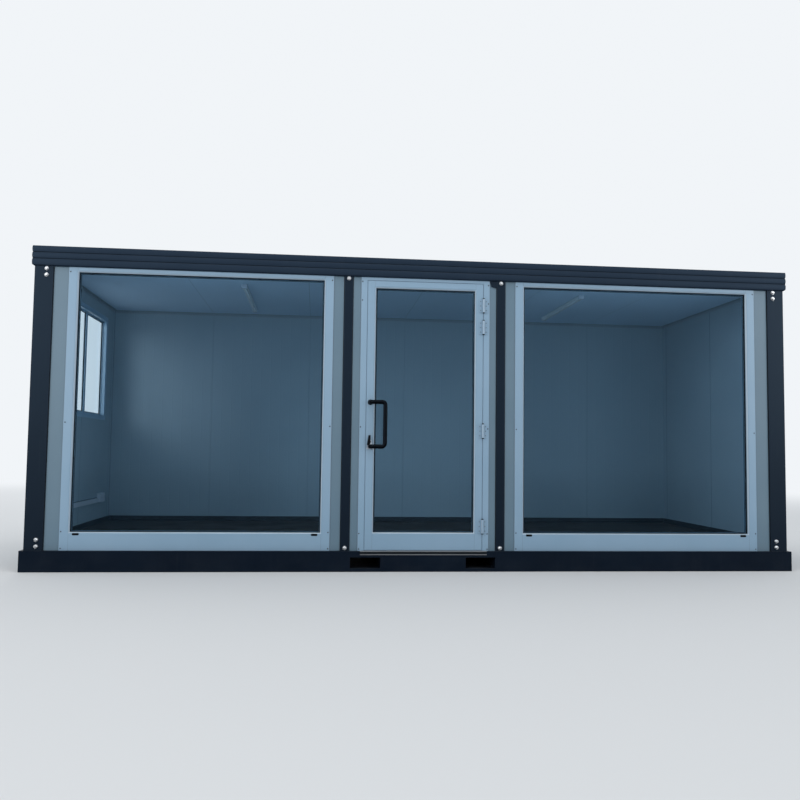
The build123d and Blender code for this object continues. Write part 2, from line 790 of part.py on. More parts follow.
# Offset pull handle: a bent round bar on two roses
handle_foot_x = leaf_left + handle_foot_from_edge
handle_bar_x = handle_foot_x + handle_offset
handle_path = [
    (handle_foot_x, face_y, handle_top),
    (handle_foot_x, face_y - handle_arm_rise, handle_top),
    (handle_bar_x, face_y - handle_stand_off, handle_top),
    (handle_bar_x, face_y - handle_stand_off, handle_bottom),
    (handle_foot_x, face_y - handle_arm_rise, handle_bottom),
    (handle_foot_x, face_y, handle_bottom),
]
with BuildPart() as door_handle:
    with BuildLine() as handle_line:
        FilletPolyline(*handle_path, radius=handle_bend)
    with BuildSketch(Plane(origin=handle_path[0], z_dir=(0, -1, 0))):
        Circle(handle_radius)
    sweep(path=handle_line.line)
    with BuildSketch(face_plane("front", -frame_recess)):
        with Locations((handle_foot_x, handle_top)):
            Circle(handle_rose_radius)
    extrude(amount=handle_rose_sheet)
door_handle.part.label = "door_handle"
export_step(door_handle.part, "parts/door_handle.step")

# Lock: a tapered plate round the handle's lower foot, a barrel above it and its lever
with BuildPart() as door_lock:
    plate_foot = handle_bottom - lock_plate_drop
    plate_head = handle_bottom + lock_plate_rise
    barrel_height = handle_bottom + lock_barrel_rise
    with BuildSketch(face_plane("front", -frame_recess)):
        with BuildLine():
            Polyline(
                (handle_foot_x - lock_plate_foot_width / 2, plate_foot),
                (handle_foot_x + lock_plate_foot_width / 2, plate_foot),
                (handle_foot_x + lock_plate_head_width / 2, plate_head),
                (handle_foot_x - lock_plate_head_width / 2, plate_head),
                close=True,
            )
        plate = make_face()
        fillet(plate.vertices(), lock_plate_corner)
        with Locations((handle_foot_x, handle_bottom)):
            Circle(handle_radius + lock_bar_gap, mode=Mode.SUBTRACT)
    extrude(amount=lock_plate_sheet)
    with BuildSketch(face_plane("front", -frame_recess)):
        with Locations((handle_foot_x, barrel_height)):
            Circle(lock_barrel_radius)
    extrude(amount=lock_plate_sheet + lock_barrel_length)
    with BuildSketch(face_plane("front", -frame_recess + lock_plate_sheet + lock_barrel_length)):
        with Locations((handle_foot_x, barrel_height + lock_lever_length / 2 - lock_lever_width)):
            SlotOverall(lock_lever_length, lock_lever_width, rotation=90)
    extrude(amount=lock_lever_sheet)
door_lock.part.label = "door_lock"
export_step(door_lock.part, "parts/door_lock.step")

# Inside: skirting open at the doorway, cornice, lights and cable trunking
with BuildPart() as skirting:
    with BuildSketch(Plane.XY.offset(floor_top)):
        Rectangle(2 * inner_x, 2 * inner_y)
        Rectangle(
            2 * (inner_x - skirting_thickness), 2 * (inner_y - skirting_thickness), mode=Mode.SUBTRACT
        )
        with Locations((door_centre_x, -inner_y)):
            Rectangle(opening_width, 4 * skirting_thickness, mode=Mode.SUBTRACT)
    extrude(amount=skirting_height)
skirting.part.label = "skirting"
export_step(skirting.part, "parts/skirting.step")

with BuildPart() as cornice:
    for leg, drop in ((cornice_size, cornice_sheet), (cornice_sheet, cornice_size)):
        with BuildSketch(Plane.XY.offset(wall_top)):
            Rectangle(2 * inner_x, 2 * inner_y)
            Rectangle(2 * (inner_x - leg), 2 * (inner_y - leg), mode=Mode.SUBTRACT)
        extrude(amount=-drop)
cornice.part.label = "cornice"
export_step(cornice.part, "parts/cornice.step")

with BuildPart() as ceiling_lights:
    light_places = [(-light_x, light_centre_y), (light_x, light_centre_y)]
    with BuildSketch(Plane.XY.offset(wall_top)):
        with Locations(*light_places):
            Rectangle(light_width, light_length)
    extrude(amount=-light_tray)
    with BuildSketch(Plane.XY.offset(wall_top - light_tray)):
        with Locations(*light_places):
            Rectangle(light_lens_width, light_length - 2 * light_tray)
    extrude(amount=-light_lens_height, taper=12)
ceiling_lights.part.label = "ceiling_lights"
export_step(ceiling_lights.part, "parts/ceiling_lights.step")

with BuildPart() as cable_trunking:
    trunking_run = inner_y + trunking_end_y
    with BuildSketch(Plane.YZ.offset(-inner_x)):
        with Locations((-inner_y + trunking_run / 2, trunking_bottom + trunking_height / 2)):
            Rectangle(trunking_run, trunking_height)
    extrude(amount=trunking_depth)
    with BuildSketch(Plane.YZ.offset(-inner_x)):
        with Locations((trunking_end_y + socket_width / 2, trunking_bottom + socket_height / 2)):
            Rectangle(socket_width, socket_height)
    extrude(amount=socket_depth)
cable_trunking.part.label = "cable_trunking"
export_step(cable_trunking.part, "parts/cable_trunking.step")
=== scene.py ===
"""Looks of the portable site cabin: finishes, fasteners, rubber, small fittings, light and camera.

Metres, in the part's frame: +X along the glazed front, the front faces -Y, +Z up.
"""

import math

import bmesh
import bpy
from mathutils import Matrix, Vector


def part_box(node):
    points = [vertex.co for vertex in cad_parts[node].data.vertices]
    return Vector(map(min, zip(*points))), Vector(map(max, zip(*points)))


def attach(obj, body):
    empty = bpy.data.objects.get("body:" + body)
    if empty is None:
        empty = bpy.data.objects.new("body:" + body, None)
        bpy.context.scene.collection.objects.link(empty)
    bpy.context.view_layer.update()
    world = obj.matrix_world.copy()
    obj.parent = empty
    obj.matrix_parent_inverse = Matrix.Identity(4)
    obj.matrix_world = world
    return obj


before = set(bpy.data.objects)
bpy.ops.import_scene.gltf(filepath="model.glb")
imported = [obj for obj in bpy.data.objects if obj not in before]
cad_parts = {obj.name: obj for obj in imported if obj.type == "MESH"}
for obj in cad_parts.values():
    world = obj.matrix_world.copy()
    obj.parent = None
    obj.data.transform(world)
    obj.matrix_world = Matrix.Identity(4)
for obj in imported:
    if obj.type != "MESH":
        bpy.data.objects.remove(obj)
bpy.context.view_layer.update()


# Node trees: one small helper for shaders and for geometry

class Graph:
    """Adds nodes to a tree. A value that is a socket is linked, any other is set; colours are opaque."""

    def __init__(self, tree):
        self.tree = tree

    def put(self, value, socket):
        if isinstance(value, bpy.types.NodeSocket):
            self.tree.links.new(value, socket)
        else:
            socket.default_value = (*value, 1.0) if socket.type == "RGBA" else value

    def add(self, kind, values=None, **settings):
        node = self.tree.nodes.new(kind)
        for name, value in settings.items():
            setattr(node, name, value)
        for name, value in (values or {}).items():
            self.put(value, node.inputs[name])
        return node

    def math(self, operation, first, second=0.0, clamp=False):
        node = self.add("ShaderNodeMath", {0: first, 1: second}, operation=operation, use_clamp=clamp)
        return node.outputs[0]

    def times(self, first, second):
        return self.math("MULTIPLY", first, second)

    def away(self, value, line):
        """How far a value is from a line, either way."""
        return self.math("ABSOLUTE", self.math("SUBTRACT", value, line))

    def ramp(self, value, low, high, to_low=0.0, to_high=1.0):
        """A smooth step of a value from one range to another."""
        values = {"Value": value, "From Min": low, "From Max": high, "To Min": to_low, "To Max": to_high}
        return self.add("ShaderNodeMapRange", values, interpolation_type="SMOOTHSTEP").outputs["Result"]

    def ease(self, mask, bare, full):
        """A number that follows a mask smoothly."""
        return self.ramp(mask, 0.0, 1.0, bare, full)

    def noise(self, vector, scale, detail=3.0, roughness=0.5):
        values = {"Vector": vector, "Scale": scale, "Detail": detail, "Roughness": roughness}
        return self.add("ShaderNodeTexNoise", values).outputs[0]

    def mix(self, factor, first, second):
        """A colour between two others."""
        return self.add("ShaderNodeMix", {0: factor, 6: first, 7: second}, data_type="RGBA").outputs[2]

    def choose(self, factor, first, second):
        """A number between two others."""
        return self.add("ShaderNodeMix", {0: factor, 2: first, 3: second}, data_type="FLOAT").outputs[0]

    def bump(self, height, strength, distance, **over):
        values = {"Height": height, "Strength": strength, "Distance": distance, **over}
        return self.add("ShaderNodeBump", values).outputs[0]

    def place(self):
        return self.add("ShaderNodeTexCoord").outputs["Object"]

    def axes(self, vector):
        return self.add("ShaderNodeSeparateXYZ", {"Vector": vector}).outputs

    def facing(self):
        """How far the surface faces along each axis."""
        return self.axes(self.add("ShaderNodeTexCoord").outputs["Normal"])

    def stretched(self, scale):
        """The place, scaled along each axis."""
        return self.add("ShaderNodeMapping", {"Vector": self.place(), "Scale": scale}).outputs[0]

    def blend(self, factor, first, second, output):
        """Mixes two shaders into the tree's output node."""
        both = self.add("ShaderNodeMixShader", {0: factor, 1: first, 2: second})
        self.put(both.outputs[0], self.tree.nodes[output].inputs["Surface"])

    def vector(self, **parts):
        return self.add("ShaderNodeCombineXYZ", parts).outputs[0]

    def moved(self, geometry, **change):
        """Geometry after a translation, rotation or scale."""
        return self.add("GeometryNodeTransform", {"Geometry": geometry, **change}).outputs[0]


def group_tree(name, inputs, outputs):
    """A node group whose inputs are given by default value or kind, and its outputs by kind."""
    use = "Geometry" if "Geometry" in outputs.values() else "Shader"
    tree = bpy.data.node_groups.new(name, use + "NodeTree")
    kinds = {float: "Float", int: "Int", tuple: "Vector"}
    for label, value in inputs.items():
        has_default = not isinstance(value, str)
        socket_kind = "NodeSocket" + (kinds[type(value)] if has_default else value)
        socket = tree.interface.new_socket(label, in_out="INPUT", socket_type=socket_kind)
        if has_default:
            socket.default_value = value
    for label, value in outputs.items():
        tree.interface.new_socket(label, in_out="OUTPUT", socket_type="NodeSocket" + value)
    graph = Graph(tree)
    return graph, graph.add("NodeGroupInput").outputs, graph.add("NodeGroupOutput").inputs


# Shader groups shared by the finishes

def make_coated_skin():
    """Orange peel of a coat over sheet, softened folds, slow drift of tone and a mask of the folds for a
    painted highlight.
    """
    graph, given, out = group_tree(
        "Coated skin", {"Grain": 900.0, "Strength": 0.1, "Fold": 0.0015},
        {"Normal": "Vector", "Tone": "Float", "Fold highlight": "Float"},
    )
    place = graph.place()
    fine = graph.noise(place, given["Grain"], 2.0)
    broad = graph.noise(place, 1.7, 3.0, 0.6)
    rounded = graph.add("ShaderNodeBevel", {"Radius": given["Fold"]}, samples=4).outputs[0]
    true_normal = graph.add("ShaderNodeNewGeometry").outputs["True Normal"]
    turn = graph.add("ShaderNodeVectorMath", {0: rounded, 1: true_normal}, operation="DOT_PRODUCT")
    graph.put(graph.bump(fine, given["Strength"], 0.0006, Normal=rounded), out["Normal"])
    graph.put(graph.ramp(broad, 0.3, 0.7), out["Tone"])
    graph.put(graph.ramp(turn.outputs["Value"], 0.995, 0.9), out["Fold highlight"])
    return graph.tree


def make_settled_dust():
    """Dust on what faces up, a soft splash near the ground and faint runs down the walls."""
    graph, given, out = group_tree(
        "Settled dust",
        {"Splash height": 0.25, "Splash": 0.3, "Dust": 0.4, "Runs": 0.1}, {"Mask": "Float"},
    )
    place = graph.place()
    facing_up = graph.ramp(graph.facing()["Z"], 0.4, 0.95)
    cloud = graph.ramp(graph.noise(place, 5.0, 5.0, 0.6), 0.3, 0.75)
    speck = graph.ramp(graph.noise(place, 70.0, 4.0, 0.6), 0.35, 0.8, 0.5, 1.0)
    patchy = graph.times(cloud, speck)
    low = graph.ramp(graph.math("DIVIDE", graph.axes(place)["Z"], given["Splash height"]), 1.0, 0.0)
    splash = graph.times(graph.times(low, patchy), given["Splash"])
    settled = graph.times(graph.times(facing_up, patchy), given["Dust"])
    runs = graph.ramp(graph.noise(graph.stretched((9.0, 9.0, 0.5)), 3.0, 4.0, 0.6), 0.56, 0.78)
    runs = graph.times(runs, given["Runs"])
    graph.put(graph.math("ADD", graph.math("ADD", splash, settled), runs, clamp=True), out["Mask"])
    return graph.tree


def make_panel_ribs():
    """Shallow upright grooves rolled into a panel's skin, and the joint between two panels."""
    graph, given, out = group_tree(
        "Panel ribs",
        {"Pitch": 0.1, "Groove": 0.006, "Module": 1.0, "Joint": 0.003, "Start x": 0.0, "Start y": 0.0},
        {"Height": "Float", "Joint": "Float"},
    )
    place = graph.axes(graph.place())
    faces_x = graph.math("GREATER_THAN", graph.math("ABSOLUTE", graph.facing()["X"]), 0.5)
    along_x = graph.math("SUBTRACT", place["X"], given["Start x"])
    along_y = graph.math("SUBTRACT", place["Y"], given["Start y"])
    along = graph.choose(faces_x, along_x, along_y)

    def from_line(step):
        share = graph.math("FRACT", graph.math("ADD", graph.math("DIVIDE", along, step), 0.5))
        return graph.times(graph.away(share, 0.5), step)

    graph.put(graph.ramp(from_line(given["Pitch"]), 0.0, given["Groove"]), out["Height"])
    graph.put(graph.ramp(from_line(given["Module"]), given["Joint"], 0.0), out["Joint"])
    return graph.tree


def make_butt_seam():
    """The hairlines where a rail ends against full-height stiles, above and below the daylight."""
    sizes = {"Middle": 0.0, "Half": 1.0, "Low": 0.3, "High": 2.2}
    graph, given, out = group_tree("Butt seam", sizes, {"Mask": "Float"})
    place = graph.axes(graph.place())
    off = graph.away(graph.away(place["X"], given["Middle"]), given["Half"])
    below = graph.math("LESS_THAN", place["Z"], given["Low"])
    above = graph.math("GREATER_THAN", place["Z"], given["High"])
    line = graph.times(graph.ramp(off, 0.0009, 0.0003), graph.math("MAXIMUM", below, above))
    graph.put(line, out["Mask"])
    return graph.tree


coated_skin = make_coated_skin()
settled_dust = make_settled_dust()
panel_ribs = make_panel_ribs()
butt_seam = make_butt_seam()


# Finishes

DUST = (0.16, 0.165, 0.165)


class Finish(Graph):
    """The graph of a new material, with its Principled shader."""

    def __init__(self, name, **plain):
        self.material = bpy.data.materials.new(name)
        self.material.use_nodes = True
        super().__init__(self.material.node_tree)
        self.shader = self.tree.nodes["Principled BSDF"]
        for label, value in plain.items():
            self.set(label.replace("_", " ").title().replace("Ior", "IOR"), value)

    def set(self, label, value):
        self.put(value, self.shader.inputs[label])

    def group(self, tree, **values):
        """The outputs of a shared group that is given these inputs."""
        named = {label.replace("_", " ").capitalize(): value for label, value in values.items()}
        return self.add("ShaderNodeGroup", named, node_tree=tree).outputs

    def done(self, base, roughness, normal=None):
        """The material, with the three values that vary over its surface."""
        self.set("Base Color", base)
        self.set("Roughness", roughness)
        if normal is not None:
            self.set("Normal", normal)
        return self.material


def coated_steel(name, light, dark, roughness, splash, gloss=0.3, grooves=()):
    """Dark coated sheet: two close tones, a painted highlight along the folds, a little dust, painted shade
    in level grooves.
    """
    coat = Finish(name, specular_ior_level=gloss, specular_tint=(0.45, 0.70, 1.0))
    skin = coat.group(coated_skin, grain=1100.0, strength=0.1, fold=0.002)
    dust = coat.group(settled_dust, splash_height=0.25, splash=splash, dust=0.18, runs=0.02)["Mask"]
    base = coat.mix(skin["Tone"], dark, light)
    # painted highlight: the folds are lightened as if they caught the light
    base = coat.mix(coat.times(skin["Fold highlight"], 0.3), base, (0.04, 0.055, 0.075))
    # painted shade: a near-black line along each level groove, where shade falls
    half_groove, groove_bed = 0.0045, 0.001
    for height in grooves:
        off = coat.away(coat.axes(coat.place())["Z"], height)
        shade = coat.ramp(off, half_groove, groove_bed, 0.0, 0.9)
        base = coat.mix(shade, base, (0.002, 0.004, 0.007))
    base = coat.mix(dust, base, DUST)
    return coat.done(base, coat.ease(dust, roughness, 0.8), skin["Normal"])


def frame_lacquer(name, **seam):
    """Silver-white lacquer on aluminium sections, with a painted highlight on the sloped bead faces and butt
    joint hairlines where a seam is given.
    """
    coat = Finish(name, specular_ior_level=0.9)
    skin = coat.group(coated_skin, grain=1500.0, strength=0.05, fold=0.0015)
    dust = coat.group(settled_dust, splash_height=0.45, splash=0.12, dust=0.3, runs=0.05)["Mask"]
    base = coat.mix(skin["Tone"], (0.206, 0.334, 0.460), (0.226, 0.354, 0.482))
    # painted highlight: the sloped faces of the beads are lightened as if they caught the light
    facing = coat.math("ABSOLUTE", coat.facing()["Y"])
    oblique = coat.math("LESS_THAN", facing, 0.9)
    bead_slope_highlight = coat.times(coat.math("GREATER_THAN", facing, 0.4), oblique)
    base = coat.mix(coat.times(bead_slope_highlight, 0.8), base, (0.40, 0.50, 0.59))
    base = coat.mix(dust, base, (0.16, 0.20, 0.23))
    if seam:
        line = coat.group(butt_seam, **seam)["Mask"]
        base = coat.mix(coat.times(line, 0.75), base, (0.07, 0.08, 0.09))
    return coat.done(base, coat.ease(dust, 0.32, 0.7), skin["Normal"])


def strip_finish():
    """Light grey coat of the flat strips in the front wall."""
    coat = Finish("infill_coat", specular_ior_level=0.8)
    skin = coat.group(coated_skin, grain=800.0, strength=0.08, fold=0.001)
    dust = coat.group(settled_dust, splash_height=0.5, splash=0.15, dust=0.3, runs=0.08)["Mask"]
    base = coat.mix(skin["Tone"], (0.096, 0.172, 0.236), (0.108, 0.186, 0.250))
    base = coat.mix(dust, base, DUST)
    return coat.done(base, coat.ease(dust, 0.42, 0.75), skin["Normal"])


def wall_finish():
    """Panel skins: pale inside, grey outside, with painted shade in the rolled grooves and the joints between
    panels.
    """
    coat = Finish("panel_coat", specular_ior_level=0.2)
    skin = coat.group(coated_skin, grain=800.0, strength=0.02, fold=0.001)
    ribs = coat.group(
        panel_ribs, pitch=0.1, groove=0.005, module=1.0, joint=0.005, start_x=room_low.x, start_y=0.0
    )
    dust = coat.group(settled_dust, splash_height=0.55, splash=0.18, dust=0.3, runs=0.12)["Mask"]
    place = coat.axes(coat.place())
    middle_of_wall = 0.03
    beyond = [
        coat.math("GREATER_THAN", coat.math("ABSOLUTE", place[axis]), reach + middle_of_wall)
        for axis, reach in (("X", room_high.x), ("Y", room_high.y))
    ]
    outside = coat.math("MAXIMUM", *beyond)
    inner = coat.mix(skin["Tone"], (0.285, 0.345, 0.395), (0.305, 0.365, 0.415))
    outer = coat.mix(skin["Tone"], (0.130, 0.188, 0.238), (0.145, 0.204, 0.254))
    base = coat.mix(outside, inner, coat.mix(dust, outer, DUST))
    # one dark colour serves as painted shade in the rolled grooves and as the dark joints between panels
    shadow = (0.03, 0.035, 0.04)
    groove_shade = coat.choose(outside, 0.04, 0.16)
    base = coat.mix(coat.times(coat.math("SUBTRACT", 1.0, ribs["Height"]), groove_shade), base, shadow)
    base = coat.mix(coat.times(ribs["Joint"], 0.7), base, shadow)
    normal = coat.bump(ribs["Height"], 0.5, 0.0012, Normal=skin["Normal"])
    return coat.done(base, coat.choose(outside, 0.75, 0.5), normal)


def ceiling_finish():
    """Smooth pale ceiling with a thin joint every panel."""
    coat = Finish("ceiling_coat", specular_ior_level=0.2)
    skin = coat.group(coated_skin, grain=800.0, strength=0.02, fold=0.001)
    ribs = coat.group(panel_ribs, pitch=1.0, groove=0.004, module=1.0, joint=0.003, start_x=room_low.x)
    base = coat.mix(skin["Tone"], (0.50, 0.62, 0.75), (0.53, 0.65, 0.78))
    base = coat.mix(coat.times(ribs["Joint"], 0.5), base, (0.06, 0.07, 0.08))
    return coat.done(base, coat.ease(skin["Tone"], 0.65, 0.75), skin["Normal"])


def insulating_glass(name, tint, carried_light, reflected, index):
    """Double glazing with a cool tint; it lets lamps and bounced light through to the room."""
    pane = Finish(name, transmission_weight=1.0, ior=index, specular_tint=reflected)
    smear = pane.ramp(pane.noise(pane.place(), 2.3, 5.0, 0.65), 0.5, 0.85, 0.0, 0.015)
    clear = pane.add("ShaderNodeBsdfTransparent", {"Color": carried_light}).outputs[0]
    path = pane.add("ShaderNodeLightPath").outputs
    carried = pane.math("MAXIMUM", path["Is Shadow Ray"], path["Is Diffuse Ray"])
    pane.blend(carried, pane.shader.outputs[0], clear, "Material Output")
    return pane.done(tint, smear)


def spangled_zinc(name, tone, roughness):
    """Hot-dip zinc: faint crystals of slightly different brightness."""
    zinc = Finish(name, metallic=1.0)
    crystals = zinc.add("ShaderNodeTexVoronoi", {"Vector": zinc.place(), "Scale": 60.0})
    dust = zinc.group(settled_dust, splash=0.1, dust=0.16, runs=0.1)["Mask"]
    darker = (tone[0] * 0.82, tone[1] * 0.82, tone[2] * 0.83)
    base = zinc.mix(zinc.ease(crystals.outputs["Color"], 0.0, 1.0), darker, tone)
    return zinc.done(zinc.mix(dust, base, DUST), zinc.ease(dust, roughness, 0.7))


def drawn_lines(graph, stretch):
    """Fine lines drawn along one way: their brightness and the bump they make."""
    lines = graph.noise(graph.stretched(stretch), 900.0, 3.0)
    return graph.ramp(lines, 0.3, 0.7), graph.bump(lines, 0.15, 0.0004)


def threshold_finish():
    """Brushed aluminium tread with anti-slip grooves along it, and a dark band between its lips."""
    metal = Finish("threshold_metal", metallic=1.0)
    lines, normal = drawn_lines(metal, (0.02, 1.0, 1.0))
    place = metal.axes(metal.place())
    groove_pitch = 0.009
    share = metal.math("FRACT", metal.math("DIVIDE", place["Y"], groove_pitch))
    normal = metal.bump(metal.ramp(metal.away(share, 0.5), 0.12, 0.2), 0.8, 0.0012, Normal=normal)
    base = metal.mix(lines, (0.36, 0.38, 0.40), (0.44, 0.46, 0.48))
    low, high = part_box("door_threshold")
    lip, skin_depth = 0.006, 0.0008
    front = metal.math("LESS_THAN", place["Y"], low.y + skin_depth)
    band = metal.times(metal.math("GREATER_THAN", place["Z"], low.z + lip), front)
    band = metal.times(band, metal.math("LESS_THAN", place["Z"], high.z - lip))
    base = metal.mix(band, base, (0.03, 0.036, 0.042))
    return metal.done(base, metal.ease(lines, 0.34, 0.46), normal)


def lock_finish():
    """Satin steel plate and barrel with painted shade on their side faces; the lever in front of them is
    black.
    """
    low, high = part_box("door_lock")
    lever_sheet, skin_depth = 0.006, 0.0002
    metal = Finish("lock_metal")
    lines, normal = drawn_lines(metal, (1.0, 1.0, 0.03))
    depth = metal.axes(metal.place())["Y"]
    lever = metal.math("LESS_THAN", depth, low.y + lever_sheet + skin_depth)
    steel = metal.mix(lines, (0.46, 0.52, 0.60), (0.56, 0.62, 0.70))
    # painted shade: faces that do not face the front are darkened
    edge = metal.math("GREATER_THAN", metal.facing()["Y"], -0.75)
    steel = metal.mix(edge, steel, (0.04, 0.05, 0.065))
    metal.set("Metallic", metal.math("SUBTRACT", 1.0, lever))
    metal.set("Specular IOR Level", metal.choose(lever, 0.5, 0.1))
    base = metal.mix(lever, steel, (0.014, 0.020, 0.028))
    return metal.done(base, metal.ease(lines, 0.3, 0.42), normal)


def moulded(name, tone, roughness, strength=0.15, gloss=0.5, tint=(1.0, 1.0, 1.0)):
    """Plastic, rubber or powder coat of one colour with a fine moulded grain."""
    coat = Finish(name, specular_ior_level=gloss, specular_tint=tint)
    skin = coat.group(coated_skin, grain=1300.0, strength=strength, fold=0.001)
    paler = tuple(min(1.0, channel * 1.12 + 0.002) for channel in tone)
    base = coat.mix(skin["Tone"], tone, paler)
    return coat.done(base, coat.ease(skin["Tone"], roughness, roughness + 0.08), skin["Normal"])


def vinyl_floor():
    """Dull dark brown sheet vinyl with a fleck and welded seams across the room."""
    vinyl = Finish("vinyl_floor", specular_ior_level=0.15)
    place = vinyl.place()
    fleck = vinyl.ramp(vinyl.noise(place, 160.0, 4.0, 0.7), 0.45, 0.65)
    cloud = vinyl.ramp(vinyl.noise(place, 2.2, 4.0), 0.35, 0.7)
    base = vinyl.mix(cloud, (0.025, 0.015, 0.009), (0.035, 0.021, 0.013))
    base = vinyl.mix(vinyl.times(fleck, 0.18), base, (0.07, 0.050, 0.038))
    sheet_width = 2.0
    share = vinyl.math("FRACT", vinyl.math("DIVIDE", vinyl.axes(place)["X"], sheet_width))
    seam = vinyl.ramp(vinyl.away(share, 0.5), 0.0016, 0.0006)
    base = vinyl.mix(seam, base, (0.01, 0.008, 0.007))
    return vinyl.done(base, vinyl.ease(cloud, 0.56, 0.68))


def light_shell_finish():
    """White tray above, opal lens with fine cross ribs below."""
    lens_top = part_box("ceiling_lights")[0].z + 0.022
    edge, rib_pitch = 0.0005, 0.006
    shell = Finish("light_shell")
    place = shell.axes(shell.place())
    is_lens = shell.ramp(place["Z"], lens_top + edge, lens_top - edge)
    wave = shell.math("SINE", shell.times(place["Y"], 2.0 * math.pi / rib_pitch))
    normal = shell.bump(shell.times(wave, is_lens), 0.3, 0.0006)
    base = shell.mix(is_lens, (0.62, 0.66, 0.69), (0.80, 0.84, 0.86))
    return shell.done(base, shell.ease(is_lens, 0.45, 0.22), normal)


room_low, room_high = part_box("floor_panel")

anthracite = coated_steel(
    "anthracite_coat", (0.0045, 0.0080, 0.0150), (0.0038, 0.0068, 0.0130),
    roughness=0.37, splash=0.05, gloss=0.34,
)
fascia_lip_drop, fascia_ribs = 0.008, 3
fascia_low, fascia_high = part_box("fascia_front")
fascia_rib_pitch = (fascia_high.z - fascia_low.z - fascia_lip_drop) / fascia_ribs
# the fascia's coat gets painted shade in the grooves between its ribs
fascia_coat = coated_steel(
    "anthracite_fascia_coat", (0.013, 0.022, 0.038), (0.011, 0.019, 0.034),
    roughness=0.40, splash=0.05, gloss=0.28,
    grooves=[fascia_high.z - k * fascia_rib_pitch for k in range(1, fascia_ribs)],
)
# painted shade: the base takes a darker, duller copy of the anthracite coat, for the shade near the ground
anthracite_base = coated_steel(
    "anthracite_base_coat", (0.004, 0.008, 0.016), (0.003, 0.006, 0.013),
    roughness=0.5, splash=0.04, gloss=0.12,
)
primed_steel = coated_steel(
    "primed_steel", (0.05, 0.055, 0.06), (0.035, 0.04, 0.045), roughness=0.6, splash=0.3
)
plain_frame = frame_lacquer("frame_lacquer")
hinge_coat = frame_lacquer("hinge_lacquer")
wall_coat = wall_finish()
front_glass = insulating_glass(
    "insulating_glass", tint=(0.70, 0.86, 0.97), carried_light=(0.80, 0.90, 0.96),
    reflected=(0.16, 0.28, 0.40), index=1.45,
)
side_glass = insulating_glass(
    "side_window_pane", tint=(0.99, 1.0, 1.0), carried_light=(0.95, 0.97, 0.98),
    reflected=(0.8, 0.9, 1.0), index=1.16,
)
bolt_zinc = spangled_zinc("bolt_zinc", (0.90, 0.92, 0.94), 0.36)
handle_coat = moulded(
    "handle_coat", (0.0015, 0.002, 0.003), 0.24, strength=0.03, gloss=0.10, tint=(0.5, 0.7, 1.0)
)
rubber = moulded("black_rubber", (0.008, 0.012, 0.016), 0.6, gloss=0.2)
grey_rubber = moulded("grey_rubber", (0.17, 0.22, 0.27), 0.6, gloss=0.2)
leaf_edge_rubber = moulded("leaf_edge_rubber", (0.20, 0.30, 0.40), 0.5)
spacer_black = moulded("spacer_black", (0.010, 0.016, 0.022), 0.7, gloss=0.1)
pale_sealant = moulded("pale_sealant", (0.16, 0.21, 0.26), 0.5)
black_plastic = moulded("black_plastic", (0.003, 0.004, 0.006), 0.5, gloss=0.08)
black_screw = moulded("black_screw", (0.03, 0.034, 0.04), 0.4)
grey_screw = moulded("grey_screw", (0.12, 0.15, 0.18), 0.4)
white_plastic = moulded("white_plastic", (0.47, 0.50, 0.56), 0.35)

PANE_UNDER_BEAD, SEAM_FROM_DAYLIGHT = 0.011, 0.007
PANES = {
    "window_frame_left": "window_glass_left",
    "window_frame_right": "window_glass_right",
    "door_leaf": "door_glass",
}


def daylight(pane):
    """The clear opening in front of a pane: its box less what the bead covers."""
    low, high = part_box(pane)
    cover = Vector((PANE_UNDER_BEAD, 0.0, PANE_UNDER_BEAD))
    return low + cover, high - cover


def jointed_lacquer(node):
    """Frame lacquer whose hairlines stand in line with the daylight of this frame's pane."""
    low, high = daylight(PANES[node])
    return frame_lacquer(
        "lacquer_" + node, middle=(low.x + high.x) / 2, half=(high.x - low.x) / 2 + SEAM_FROM_DAYLIGHT,
        low=low.z - PANE_UNDER_BEAD, high=high.z + PANE_UNDER_BEAD,
    )


NODE_FINISHES = {
    "fork_tubes": anthracite_base, "floor_joists": primed_steel, "floor_panel": vinyl_floor(),
    "front_infill_strips": strip_finish(), "roof_panel": ceiling_finish(),
    "roof_sheet": spangled_zinc("zinc_sheet", (0.50, 0.52, 0.54), 0.4),
    "skirting": moulded("dark_trim", (0.012, 0.014, 0.017), 0.5, gloss=0.3),
    "cornice": moulded("cornice_coat", (0.22, 0.25, 0.28), 0.45),
    "ceiling_lights": light_shell_finish(), "cable_trunking": white_plastic,
    "door_threshold": threshold_finish(), "door_handle": handle_coat, "door_lock": lock_finish(),
    "hinge_jamb_halves": hinge_coat, "hinge_leaf_halves": hinge_coat,
}


def finish_node(name):
    """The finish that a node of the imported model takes."""
    if name in PANES:
        return jointed_lacquer(name)
    if name in NODE_FINISHES:
        return NODE_FINISHES[name]
    for part_of_name, finish in (
        ("base_", anthracite_base), ("fascia_", fascia_coat), ("post_", anthracite),
        ("side_window_glass", side_glass), ("glass", front_glass), ("panel", wall_coat),
    ):
        if part_of_name in name:
            return finish
    return plain_frame


for name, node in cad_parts.items():
    node.data.materials.clear()
    node.data.materials.append(finish_node(name))


# Geometry trees for what repeats or follows a line

def finished_tree(graph, given, out, geometry):
    """Ends a geometry tree: real geometry in the given finish."""
    real = graph.add("GeometryNodeRealizeInstances", {"Geometry": geometry})
    values = {"Geometry": real.outputs[0], "Material": given["Finish"]}
    graph.put(graph.add("GeometryNodeSetMaterial", values).outputs[0], out["Pieces"])
    return graph.tree


